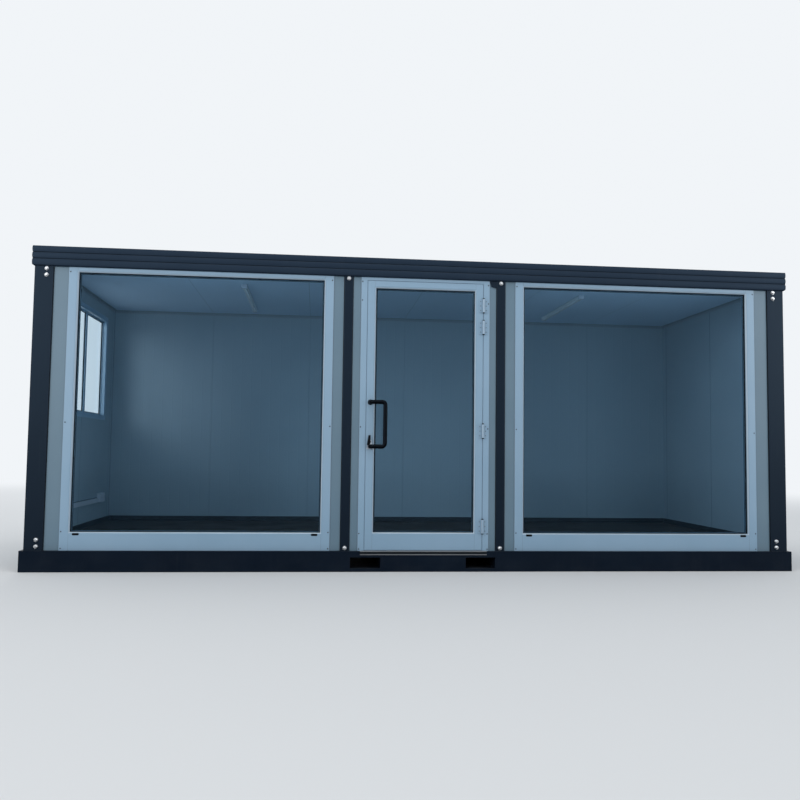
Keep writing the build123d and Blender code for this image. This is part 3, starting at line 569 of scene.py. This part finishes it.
def fastener_tree():
    """A flanged head on every point, facing along the point's own direction."""
    sizes = {
        "Heads": "Geometry", "Flange radius": 0.016, "Flange height": 0.003, "Head radius": 0.010,
        "Head height": 0.007, "Head sides": 6, "Finish": "Material",
    }
    graph, given, out = group_tree("Fastener heads", sizes, {"Pieces": "Geometry"})
    joined = graph.add("GeometryNodeJoinGeometry")

    def tapered(sides, low, high, depth, lift):
        values = {"Vertices": sides, "Radius Bottom": low, "Radius Top": high, "Depth": depth}
        cone = graph.add("GeometryNodeMeshCone", values).outputs["Mesh"]
        graph.put(graph.moved(cone, Translation=graph.vector(Z=lift)), joined.inputs[0])

    flange, flange_height = given["Flange radius"], given["Flange height"]
    sides, head, head_height = given["Head sides"], given["Head radius"], given["Head height"]
    flange_sides = 20
    tapered(flange_sides, flange, graph.times(flange, 0.86), flange_height, 0.0)
    tapered(sides, head, head, head_height, flange_height)
    lift = graph.math("ADD", flange_height, head_height)
    tapered(sides, head, graph.times(head, 0.72), graph.times(head_height, 0.3), lift)
    facing = graph.add("GeometryNodeInputNamedAttribute", {"Name": "facing"}, data_type="FLOAT_VECTOR")
    turned_to = graph.add("FunctionNodeAlignRotationToVector", {"Vector": facing.outputs[0]}, axis="Z")
    placed = graph.add(
        "GeometryNodeInstanceOnPoints",
        {"Points": given["Heads"], "Instance": joined.outputs[0], "Rotation": turned_to.outputs[0]},
    )
    return finished_tree(graph, given, out, placed.outputs[0])


def ring_tree():
    """A strip round an upright rectangle with mitred corners; many sides make it round, four square."""
    sizes = {
        "Seed": "Geometry", "Middle": (0.0, 0.0, 0.0), "Turn": 0.0, "Width": 1.0, "Height": 1.0,
        "Across": 0.008, "Deep": 0.005, "Sides": 12, "Finish": "Material",
    }
    graph, given, out = group_tree("Ring round a pane", sizes, {"Pieces": "Geometry"})
    values = {"Width": given["Width"], "Height": given["Height"]}
    outline = graph.add("GeometryNodeCurvePrimitiveQuadrilateral", values)
    half_side = graph.math("DIVIDE", math.pi, given["Sides"])
    radius = graph.math("DIVIDE", 0.5, graph.math("COSINE", half_side))
    values = {"Resolution": given["Sides"], "Radius": radius}
    section = graph.add("GeometryNodeCurvePrimitiveCircle", values).outputs["Curve"]
    section = graph.moved(section, Rotation=graph.vector(Z=half_side))
    # a curve's mitred corners narrow the section by the square root of two
    across = graph.times(given["Across"], math.sqrt(2.0))
    section = graph.moved(section, Scale=graph.vector(X=across, Y=given["Deep"], Z=1.0))
    values = {"Curve": outline.outputs[0], "Profile Curve": section}
    strip = graph.add("GeometryNodeCurveToMesh", values).outputs[0]
    stand = graph.vector(X=math.pi / 2, Z=given["Turn"])
    return finished_tree(graph, given, out, graph.moved(strip, Rotation=stand, Translation=given["Middle"]))


def bead_tree():
    """A round bead along every edge of a seed mesh."""
    sizes = {"Lines": "Geometry", "Radius": 0.003, "Finish": "Material"}
    graph, given, out = group_tree("Sealant beads", sizes, {"Pieces": "Geometry"})
    curves = graph.add("GeometryNodeMeshToCurve", {"Mesh": given["Lines"]}).outputs[0]
    values = {"Resolution": 10, "Radius": given["Radius"]}
    section = graph.add("GeometryNodeCurvePrimitiveCircle", values).outputs["Curve"]
    values = {"Curve": curves, "Profile Curve": section, "Fill Caps": True}
    return finished_tree(graph, given, out, graph.add("GeometryNodeCurveToMesh", values).outputs[0])


fastener_heads = fastener_tree()
ring_round_pane = ring_tree()
sealant_beads = bead_tree()


def linked(name, data):
    """A new object in the scene."""
    made = bpy.data.objects.new(name, data)
    bpy.context.scene.collection.objects.link(made)
    return made


def keep(name, mesh, body):
    """Makes a finished mesh a piece that rides on a body."""
    mesh.shade_smooth()
    mesh.set_sharp_from_angle(angle=math.radians(35))
    piece = linked(name, mesh)
    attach(piece, body)


def grown(tree, seed, **values):
    """The plain mesh that a geometry tree makes from a seed mesh."""
    holder = linked("holder", seed)
    modifier = holder.modifiers.new("grow", "NODES")
    modifier.node_group = tree
    sockets = {
        item.name: item.identifier
        for item in tree.interface.items_tree
        if item.item_type == "SOCKET" and item.in_out == "INPUT"
    }
    for label, value in values.items():
        modifier[sockets[label.replace("_", " ").capitalize()]] = value
    bpy.context.view_layer.update()
    evaluated = holder.evaluated_get(bpy.context.evaluated_depsgraph_get())
    mesh = bpy.data.meshes.new_from_object(evaluated)
    bpy.data.objects.remove(holder)
    return mesh


HEAD_SIZES = ("flange_radius", "flange_height", "head_radius", "head_height", "head_sides")
POST_BOLT = (0.0168, 0.004, 0.0120, 0.008, 6)
FRAME_SCREW = (0.0052, 0.0010, 0.0034, 0.0010, 12)
WING_SCREW = (0.0044, 0.0006, 0.0034, 0.0008, 12)
WALL_SCREW = (0.0080, 0.0014, 0.0048, 0.0036, 6)
ROOF_SCREW = (0.008, 0.0015, 0.005, 0.003, 6)


def heads(name, points, sizes, body, finish):
    """Fastener heads at (place, facing) pairs, as one piece; their sizes are named in HEAD_SIZES."""
    seed = bpy.data.meshes.new(name + "_points")
    seed.from_pydata([place for place, facing in points], [], [])
    attribute = seed.attributes.new("facing", "FLOAT_VECTOR", "POINT")
    attribute.data.foreach_set("vector", [value for place, facing in points for value in facing])
    named = dict(zip(HEAD_SIZES, sizes))
    keep(name, grown(fastener_heads, seed, finish=finish, **named), body)


ALONG_X, ALONG_Y = 0, 1


def ring(name, low, high, depths, reaches, body, finish, sides, along=ALONG_X):
    """A strip round an opening in a wall, between two depths, reaching outside it and inside it."""
    near, far = depths
    outer, inner = reaches
    middle = (low + high) / 2
    middle[1 - along] = (near + far) / 2
    grow = outer - inner
    mesh = grown(
        ring_round_pane, bpy.data.meshes.new(name + "_seed"), middle=middle, turn=along * math.pi / 2,
        width=high[along] - low[along] + grow, height=high.z - low.z + grow,
        across=inner + outer, deep=far - near, sides=sides, finish=finish,
    )
    keep(name, mesh, body)


def beads(name, lines, radius, finish):
    """Round beads along straight lines on the cabin, as one piece."""
    seed = bpy.data.meshes.new(name + "_lines")
    points = [point for line in lines for point in line]
    seed.from_pydata(points, [(2 * k, 2 * k + 1) for k in range(len(lines))], [])
    keep(name, grown(sealant_beads, seed, radius=radius, finish=finish), "cabin")


def solid_piece(name, shape, body, finish):
    """Makes a built shape a piece of one finish."""
    mesh = bpy.data.meshes.new(name)
    shape.to_mesh(mesh)
    shape.free()
    mesh.materials.append(finish)
    keep(name, mesh, body)


def join_rings(shape, rings):
    """Faces between rings of vertices from the foot up, closed at both ends; the last may be a tip."""
    shape.faces.new(list(reversed(rings[0])))
    for below, above in zip(rings, rings[1:]):
        count = len(below)
        for k in range(count):
            corners = [below[k], below[(k + 1) % count]]
            corners += above if len(above) == 1 else [above[(k + 1) % count], above[k]]
            shape.faces.new(corners)
    if len(rings[-1]) > 1:
        shape.faces.new(rings[-1])


def round_edges(shape, radius):
    bmesh.ops.bevel(
        shape, geom=shape.edges[:], offset=radius, segments=3, profile=0.5, affect="EDGES", clamp_overlap=True
    )


def point_on_circle(radius, angle, height):
    return Vector((radius * math.cos(angle), radius * math.sin(angle), height))


def turned(name, places, profile, sides, body, finish):
    """Lathe-turned shapes at (place, facing) pairs; the profile is (radius, height) from the foot up."""
    shape = bmesh.new()
    for place, facing in places:
        stand = Matrix.Translation(place) @ facing.to_track_quat("Z", "Y").to_matrix().to_4x4()
        rings = []
        for radius, height in profile:
            count = sides if radius > 0.0 else 1
            points = [point_on_circle(radius, 2 * math.pi * k / sides, height) for k in range(count)]
            rings.append([shape.verts.new(stand @ point) for point in points])
        join_rings(shape, rings)
    solid_piece(name, shape, body, finish)


def rounded_blocks(name, corners, radius, body, finish):
    """Blocks between (low, high) corners with rounded edges, as one piece."""
    shape = bmesh.new()
    for low, high in corners:
        made = bmesh.ops.create_cube(shape, size=1.0)["verts"]
        bmesh.ops.scale(shape, vec=high - low, verts=made)
        bmesh.ops.translate(shape, vec=(low + high) / 2, verts=made)
    round_edges(shape, radius)
    solid_piece(name, shape, body, finish)


# Bolts that hold the posts to the base and the roof

LEFT, RIGHT, FRONT, BACK = Vector((-1, 0, 0)), Vector((1, 0, 0)), Vector((0, -1, 0)), Vector((0, 1, 0))
UP = Vector((0, 0, 1))
left_face, front_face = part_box("post_front_left")[0].xy
bolt_from_edge = 0.088
corner_bolt_heights = (0.187, 0.236, 2.243, 2.292)
door_post_bolt_heights = (0.179, 2.293)

bolts = []
for height in corner_bolt_heights:
    for side in (-1, 1):
        along = side * (abs(left_face) - bolt_from_edge)
        across = side * (abs(front_face) - bolt_from_edge)
        bolts += [
            (Vector((along, front_face, height)), FRONT),
            (Vector((along, -front_face, height)), BACK),
            (Vector((left_face, across, height)), LEFT),
            (Vector((-left_face, across, height)), RIGHT),
        ]
for name in ("post_door_left", "post_door_right"):
    low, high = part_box(name)
    bolts += [(Vector(((low.x + high.x) / 2, low.y, height)), FRONT) for height in door_post_bolt_heights]
heads("post_bolts", bolts, POST_BOLT, "cabin", bolt_zinc)


# Small screws in the window and door frames, the hinges, the back and end walls and the roof

def spread(count, span):
    """Evenly spaced places from one end of a span to the other, about its middle."""
    return [(k / (count - 1) - 0.5) * span for k in range(count)]


def screws_in_stiles(node, from_edge, heights):
    low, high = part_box(node)
    return [
        (Vector((x, low.y, z)), FRONT)
        for x in (low.x + from_edge, high.x - from_edge)
        for z in heights
    ]


small_screws = []
for name in ("window_frame_left", "window_frame_right"):
    small_screws += screws_in_stiles(name, from_edge=0.012, heights=(0.173, 0.298, 1.12, 2.274))
small_screws += screws_in_stiles("door_frame", from_edge=0.009, heights=(0.171, 0.290, 1.12, 2.125, 2.274))
heads("frame_screws", small_screws, FRAME_SCREW, "cabin", black_screw)

leaf_low, leaf_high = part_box("door_leaf")
hinge_length, hinge_wing_sheet, hinge_axis_lift = 0.108, 0.004, 0.014
hinge_from_foot, second_hinge_z, hinges_from_head = 0.184, 1.101, (0.350, 0.175)
half_leaf_gap, screw_from_wing_edge = 0.0025, 0.012
hinge_middles = [leaf_low.z + hinge_from_foot, second_hinge_z]
hinge_middles += [leaf_high.z - drop for drop in hinges_from_head]
for name, body, x in (
    ("jamb_wing_screws", "cabin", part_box("hinge_jamb_halves")[1].x - screw_from_wing_edge),
    ("leaf_wing_screws", "door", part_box("hinge_leaf_halves")[0].x + screw_from_wing_edge),
):
    points = [
        (Vector((x, leaf_low.y - hinge_wing_sheet, middle + step * hinge_length / 3)), FRONT)
        for middle in hinge_middles
        for step in (-1, 0, 1)
    ]
    heads(name, points, WING_SCREW, body, grey_screw)

pin_x = leaf_high.x + half_leaf_gap
pin_y = leaf_low.y - hinge_axis_lift
pin_caps = [
    (Vector((pin_x, pin_y, middle + end * (hinge_length / 2))), Vector((0, 0, end)))
    for middle in hinge_middles
    for end in (-1, 1)
]
pin_cap_profile = [
    (0.0086, 0.0), (0.0090, 0.0015), (0.0088, 0.0045), (0.0070, 0.0066), (0.0035, 0.0078), (0.0, 0.0082),
]
turned("hinge_pin_caps", pin_caps, pin_cap_profile, 16, "cabin", black_plastic)

wall_low, wall_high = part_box("back_panel_1")
back_face = wall_high.y
end_face = abs(wall_low.x)
above_foot, below_head = 0.03, 0.06
back_row, end_row = spread(count=18, span=5.5), spread(count=6, span=1.8)
wall_points = []
for z in (wall_low.z + above_foot, wall_high.z - below_head):
    wall_points += [(Vector((x, back_face, z)), BACK) for x in back_row]
    for y in end_row:
        wall_points += [(Vector((-end_face, y, z)), LEFT), (Vector((end_face, y, z)), RIGHT)]
heads("wall_screws", wall_points, WALL_SCREW, "cabin", bolt_zinc)

roof_low, roof_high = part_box("roof_sheet")
roof_middle_y = (roof_low.y + roof_high.y) / 2
row_from_edge = 0.14
roof_ribs = spread(count=23, span=5.5)
screw_rows = spread(count=5, span=roof_high.y - roof_low.y - 2 * row_from_edge)
roof_points = [(Vector((x, roof_middle_y + y, roof_high.z)), UP) for x in roof_ribs for y in screw_rows]
heads("roof_screws", roof_points, ROOF_SCREW, "cabin", bolt_zinc)


# Round every pane: the rubber in front, the black spacer inside and the rubber behind

RUBBER_LAP = 0.0005
ROUND, SQUARE = 12, 4


def pane_rings(name, low, high, body, along, proud, spacer_inset, outside, between, inside):
    """The three rings of one pane; the last three values are how far each reaches out and in."""
    front, back = low[1 - along], high[1 - along]
    for label, depths, reaches, finish, sides in (
        ("gasket", (front - proud, front + RUBBER_LAP), outside, rubber, ROUND),
        ("spacer", (front + spacer_inset, back - spacer_inset), between, spacer_black, SQUARE),
        ("inner_gasket", (back - RUBBER_LAP, back + proud), inside, rubber, ROUND),
    ):
        ring(name.format(label), low, high, depths, reaches, body, finish, sides, along)


for name, body in (("window_{}_left", "cabin"), ("window_{}_right", "cabin"), ("door_{}", "door")):
    low, high = daylight(name.format("glass"))
    pane_rings(
        name, low, high, body, ALONG_X, proud=0.0045, spacer_inset=0.004,
        outside=(0.0008, 0.0045), between=(PANE_UNDER_BEAD - 0.001, 0.0065), inside=(-0.0072, 0.0125),
    )

SIDE_MULLION, SIDE_PANE_GAP, SIDE_LIP = 0.028, 0.001, 0.010
pane_low, pane_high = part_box("side_window_glass")
pane_width = (pane_high.y - pane_low.y - (SIDE_MULLION + 2 * SIDE_PANE_GAP)) / 2
margin = SIDE_LIP - SIDE_PANE_GAP
for label, start in (("front", pane_low.y), ("back", pane_high.y - pane_width)):
    low = Vector((pane_low.x, start + margin, pane_low.z + margin))
    high = Vector((pane_high.x, start + pane_width - margin, pane_high.z - margin))
    pane_rings(
        "side_{}_" + label, low, high, "cabin", ALONG_Y, proud=0.0035, spacer_inset=0.003,
        outside=(0.0008, 0.0050), between=(0.008, 0.0075), inside=(0.0008, 0.0050),
    )


# Door seals: one on the frame's stop behind the leaf, one in the gap round the leaf

frame_low, frame_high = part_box("door_frame")
jamb_face, head_face = 0.048, 0.060
stop_front = frame_low.y + 0.051
seal_foot = 0.180
opening_low = Vector((frame_low.x + jamb_face, 0.0, seal_foot))
opening_high = Vector((frame_high.x - jamb_face, 0.0, frame_high.z - head_face))
seal_depths = (stop_front - 0.0042, stop_front + 0.0003)
seal_reaches = (-0.0062, 0.0140)
ring("door_seal", opening_low, opening_high, seal_depths, seal_reaches, "cabin", grey_rubber, ROUND)
edge_depths = (leaf_low.y + 0.0030, leaf_low.y + 0.0075)
edge_reaches = (leaf_low.x - opening_low.x - 0.0013, 0.0020)
ring("leaf_edge_seal", leaf_low, leaf_high, edge_depths, edge_reaches, "door", leaf_edge_rubber, SQUARE)


# Sealant: dark beads beside the posts, pale ones round the frames

strip_low, strip_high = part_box("front_infill_strips")
strip_face = strip_low.y
POST_WIDTH = 0.138
DARK_BEAD, DARK_SINK = 0.0042, 0.0008
PALE_BEAD, PALE_SINK = 0.0026, -0.0002
END_GAP, BESIDE = 0.001, 0.0005


def upright_line(x, y):
    return (Vector((x, y, strip_low.z + END_GAP)), Vector((x, y, strip_high.z - END_GAP)))


def lines_beside(names, y):
    """Upright lines along both sides of each node, without those at the cabin's own corners."""
    edges = [x for name in names for x in (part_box(name)[0].x - BESIDE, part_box(name)[1].x + BESIDE)]
    return [upright_line(x, y) for x in edges if abs(x) < abs(left_face)]


posts = ("post_front_left", "post_front_right", "post_door_left", "post_door_right")
beads("post_seals", lines_beside(posts, strip_face + DARK_SINK), DARK_BEAD, rubber)

back_lines = []
for side in (-1, 1):
    corner_x = side * (abs(left_face) - POST_WIDTH)
    corner_y = side * (abs(front_face) - POST_WIDTH)
    back_lines.append(upright_line(corner_x, back_face - DARK_SINK))
    back_lines.append(upright_line(-end_face + DARK_SINK, corner_y))
    back_lines.append(upright_line(end_face - DARK_SINK, corner_y))
beads("corner_post_seals", back_lines, DARK_BEAD, rubber)

frames = ("window_frame_left", "window_frame_right", "door_frame")
beads("frame_sealant", lines_beside(frames, strip_face + PALE_SINK), PALE_BEAD, pale_sealant)


# Drain caps in the windows' bottom rails

def drain_caps(name, middles, length, height, depth):
    """Thin plates with round ends lying along X and facing the front, their front edge rounded."""
    steps = 8
    shape = bmesh.new()
    for middle in middles:
        layers = []
        for inset, y in ((0.0, depth), (0.0, 0.0012), (0.0006, 0.0003), (0.0016, 0.0)):
            radius = height / 2 - inset
            outline = []
            for end in (1, -1):
                for k in range(steps + 1):
                    angle = -math.pi / 2 + math.pi * k / steps
                    outline.append(shape.verts.new((
                        middle.x + end * (length / 2 - height / 2 + radius * math.cos(angle)),
                        middle.y + y, middle.z + end * radius * math.sin(angle),
                    )))
            layers.append(outline)
        join_rings(shape, layers)
    bmesh.ops.recalc_face_normals(shape, faces=shape.faces[:])
    solid_piece(name, shape, "cabin", black_plastic)


drain_from_corner, drain_drop, drain_proud = 0.045, 0.016, 0.0012
for side in ("left", "right"):
    low, high = daylight("window_glass_" + side)
    cap_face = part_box("window_frame_" + side)[0].y - drain_proud
    middles = [
        Vector((x, cap_face, low.z - drain_drop))
        for x in (low.x + drain_from_corner, high.x - drain_from_corner)
    ]
    drain_caps("drain_caps_" + side, middles, length=0.052, height=0.0175, depth=0.010)


# Inside: caps on the ceiling lights, a black bead of painted shade and socket faces on the trunking

light_low, light_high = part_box("ceiling_lights")
light_half_width = 0.023
cap_length, cap_lap, cap_side, cap_below, cap_top_drop = 0.022, 0.002, 0.001, 0.0015, 0.0005
light_caps = []
for x in (light_low.x + light_half_width, light_high.x - light_half_width):
    for y_low in (light_low.y - cap_lap, light_high.y + cap_lap - cap_length):
        low = Vector((x - light_half_width - cap_side, y_low, light_low.z - cap_below))
        high = Vector((x + light_half_width + cap_side, y_low + cap_length, light_high.z - cap_top_drop))
        light_caps.append((low, high))
rounded_blocks("light_end_caps", light_caps, 0.004, "cabin", white_plastic)

box_low, box_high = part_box("cable_trunking")
trunking_height, socket_box_width = 0.040, 0.150
# painted shade: a black bead along the top edge of the trunking stands for the shade line above it
shade_bead_radius, shade_bead_end_gap = 0.0035, 0.002
shade_bead_x = room_low.x + 0.0006
shade_bead_z = box_low.z + trunking_height + 0.0014
shade_bead_ends = (box_low.y + shade_bead_end_gap, box_high.y - socket_box_width - shade_bead_end_gap)
beads("trunking_shade_bead", [[Vector((shade_bead_x, y, shade_bead_z)) for y in shade_bead_ends]], shade_bead_radius, rubber)

socket_x, socket_z = box_high.x, 0.452
socket_places = [box_high.y - from_end for from_end in (0.112, 0.038)]
pin_from_middle = 0.0095
socket_profile = [
    (0.0255, 0.0), (0.0255, 0.0022), (0.0245, 0.0034), (0.0215, 0.0038), (0.0205, 0.0030),
    (0.0200, 0.0008), (0.0, 0.0006),
]
sockets = [(Vector((socket_x - 0.0002, y, socket_z)), RIGHT) for y in socket_places]
turned("socket_faces", sockets, socket_profile, 32, "cabin", white_plastic)
pin_hole_profile = [(0.0030, 0.0), (0.0030, 0.0006), (0.0022, 0.0008), (0.0, 0.0007)]
pin_holes = [
    (Vector((socket_x + 0.0004, y + offset, socket_z)), RIGHT)
    for y in socket_places
    for offset in (-pin_from_middle, pin_from_middle)
]
turned("socket_pin_holes", pin_holes, pin_hole_profile, 12, "cabin", black_plastic)


# The lock: a thumb turn behind it and a black moulded cap over its lever

lock_low, lock_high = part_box("door_lock")
lock_x = (lock_low.x + lock_high.x) / 2
turn_z = 1.004
rose_profile = [
    (0.0165, 0.0), (0.0165, 0.0030), (0.0150, 0.0045), (0.0070, 0.0050), (0.0062, 0.0120), (0.0, 0.0122),
]
rose = [(Vector((lock_x, leaf_high.y - 0.0002, turn_z)), BACK)]
turned("thumb_turn_rose", rose, rose_profile, 32, "door", bolt_zinc)
key_half_width, key_half_height = 0.0032, 0.0125
key_low = Vector((lock_x - key_half_width, leaf_high.y + 0.0095, turn_z - key_half_height))
key_high = Vector((lock_x + key_half_width, leaf_high.y + 0.0240, turn_z + key_half_height))
rounded_blocks("thumb_turn_key", [(key_low, key_high)], 0.0028, "door", bolt_zinc)

lever_front, lever_back = lock_low.y - 0.0010, lock_low.y + 0.0050
lever_outline = [(-0.0245, 0.978), (-0.0005, 0.978), (0.0015, 1.022), (-0.0020, 1.056), (-0.0125, 1.056)]
lever = bmesh.new()
join_rings(lever, [
    [lever.verts.new((lock_x + x, y, z)) for x, z in lever_outline] for y in (lever_back, lever_front)
])
round_edges(lever, 0.0014)
bmesh.ops.recalc_face_normals(lever, faces=lever.faces[:])
solid_piece("lock_lever_cap", lever, "door", black_plastic)


# Stage, light and camera

BACKGROUND = (0.88, 0.91, 0.94)


def floor_finish():
    """Pale floor that keeps the shadow and fades far off; dark in what the cabin mirrors of it."""
    ground = Finish("pale_floor", roughness=0.9, specular_ior_level=0.1)
    far = ground.add("ShaderNodeVectorMath", {0: ground.place()}, operation="LENGTH").outputs["Value"]
    path = ground.add("ShaderNodeLightPath").outputs
    not_through = ground.math("SUBTRACT", 1.0, path["Is Transmission Ray"])
    mirrored = ground.times(path["Is Glossy Ray"], not_through)
    ground.set("Base Color", ground.mix(mirrored, (0.72, 0.73, 0.74), (0.03, 0.04, 0.05)))
    fade = ground.choose(mirrored, ground.ramp(far, 6.0, 18.0), ground.ramp(far, 2.0, 45.0))
    glow = ground.add("ShaderNodeEmission", {"Color": BACKGROUND, "Strength": 1.0}).outputs[0]
    ground.blend(fade, ground.shader.outputs[0], glow, "Material Output")
    return ground.material


floor_radius, floor_sides, floor_drop = 60.0, 64, 0.001
floor_mesh = bpy.data.meshes.new("floor")
floor_mesh.from_pydata(
    [point_on_circle(floor_radius, 2 * math.pi * k / floor_sides, -floor_drop) for k in range(floor_sides)],
    [], [list(range(floor_sides))],
)
floor_mesh.materials.append(floor_finish())
floor = linked("floor", floor_mesh)

world = bpy.data.worlds.new("studio")
world.use_nodes = True
sky = Graph(world.node_tree)
path = sky.add("ShaderNodeLightPath").outputs
bent = sky.math("MAXIMUM", path["Is Glossy Ray"], path["Is Transmission Ray"])
seen = sky.math("MAXIMUM", path["Is Camera Ray"], bent)
lit = world.node_tree.nodes["Background"]
sky.put((0.90, 0.95, 1.0), lit.inputs["Color"])
sky.put(0.70, lit.inputs["Strength"])
shown = sky.add("ShaderNodeBackground", {"Color": BACKGROUND, "Strength": 1.0})
sky.blend(seen, lit.outputs[0], shown.outputs[0], "World Output")
bpy.context.scene.world = world


def soft_lamp(name, place, aim_height, width, power):
    """A wide soft lamp aimed at a point above the middle of the base."""
    lamp = bpy.data.lights.new(name, "AREA")
    lamp.shape = "SQUARE"
    lamp.size = width
    lamp.energy = power
    lamp.color = (1.0, 0.985, 0.96)
    holder = linked(name, lamp)
    holder.location = place
    aim = Vector((0.0, 0.0, aim_height)) - Vector(place)
    holder.rotation_euler = aim.to_track_quat("-Z", "Y").to_euler()


soft_lamp("left_lamp", (-9.5, -9.0, 4.2), 1.2, width=5.0, power=340.0)
soft_lamp("right_lamp", (11.0, -9.0, 4.2), 1.2, width=5.0, power=270.0)
soft_lamp("top_lamp", (0.0, -5.0, 12.0), 1.0, width=8.0, power=320.0)
soft_lamp("back_lamp", (-2.0, 10.0, 7.0), 1.0, width=6.0, power=300.0)

# The camera's place and angles follow the photograph; the focal length is counted in its pixels
focal_pixels, picture_pixels, film_width = 822.18, 800.0, 36.0
camera_place = Vector((-0.8477, -7.590, 0.92525))
yaw, pitch, roll = 0.10091, 0.06349, 0.01305
ahead = Vector((math.sin(yaw) * math.cos(pitch), math.cos(yaw) * math.cos(pitch), math.sin(pitch)))
level = Vector((math.cos(yaw), -math.sin(yaw), 0.0))
above = level.cross(ahead)
right = math.cos(roll) * level + math.sin(roll) * above
upward = -math.sin(roll) * level + math.cos(roll) * above
camera_data = bpy.data.cameras.new("camera")
camera_data.sensor_width = film_width
camera_data.lens = focal_pixels * film_width / picture_pixels
camera = linked("camera", camera_data)
camera.matrix_world = Matrix.Translation(camera_place) @ Matrix((right, upward, -ahead)).transposed().to_4x4()
bpy.context.scene.camera = camera

bpy.context.scene.view_settings.view_transform = "Standard"
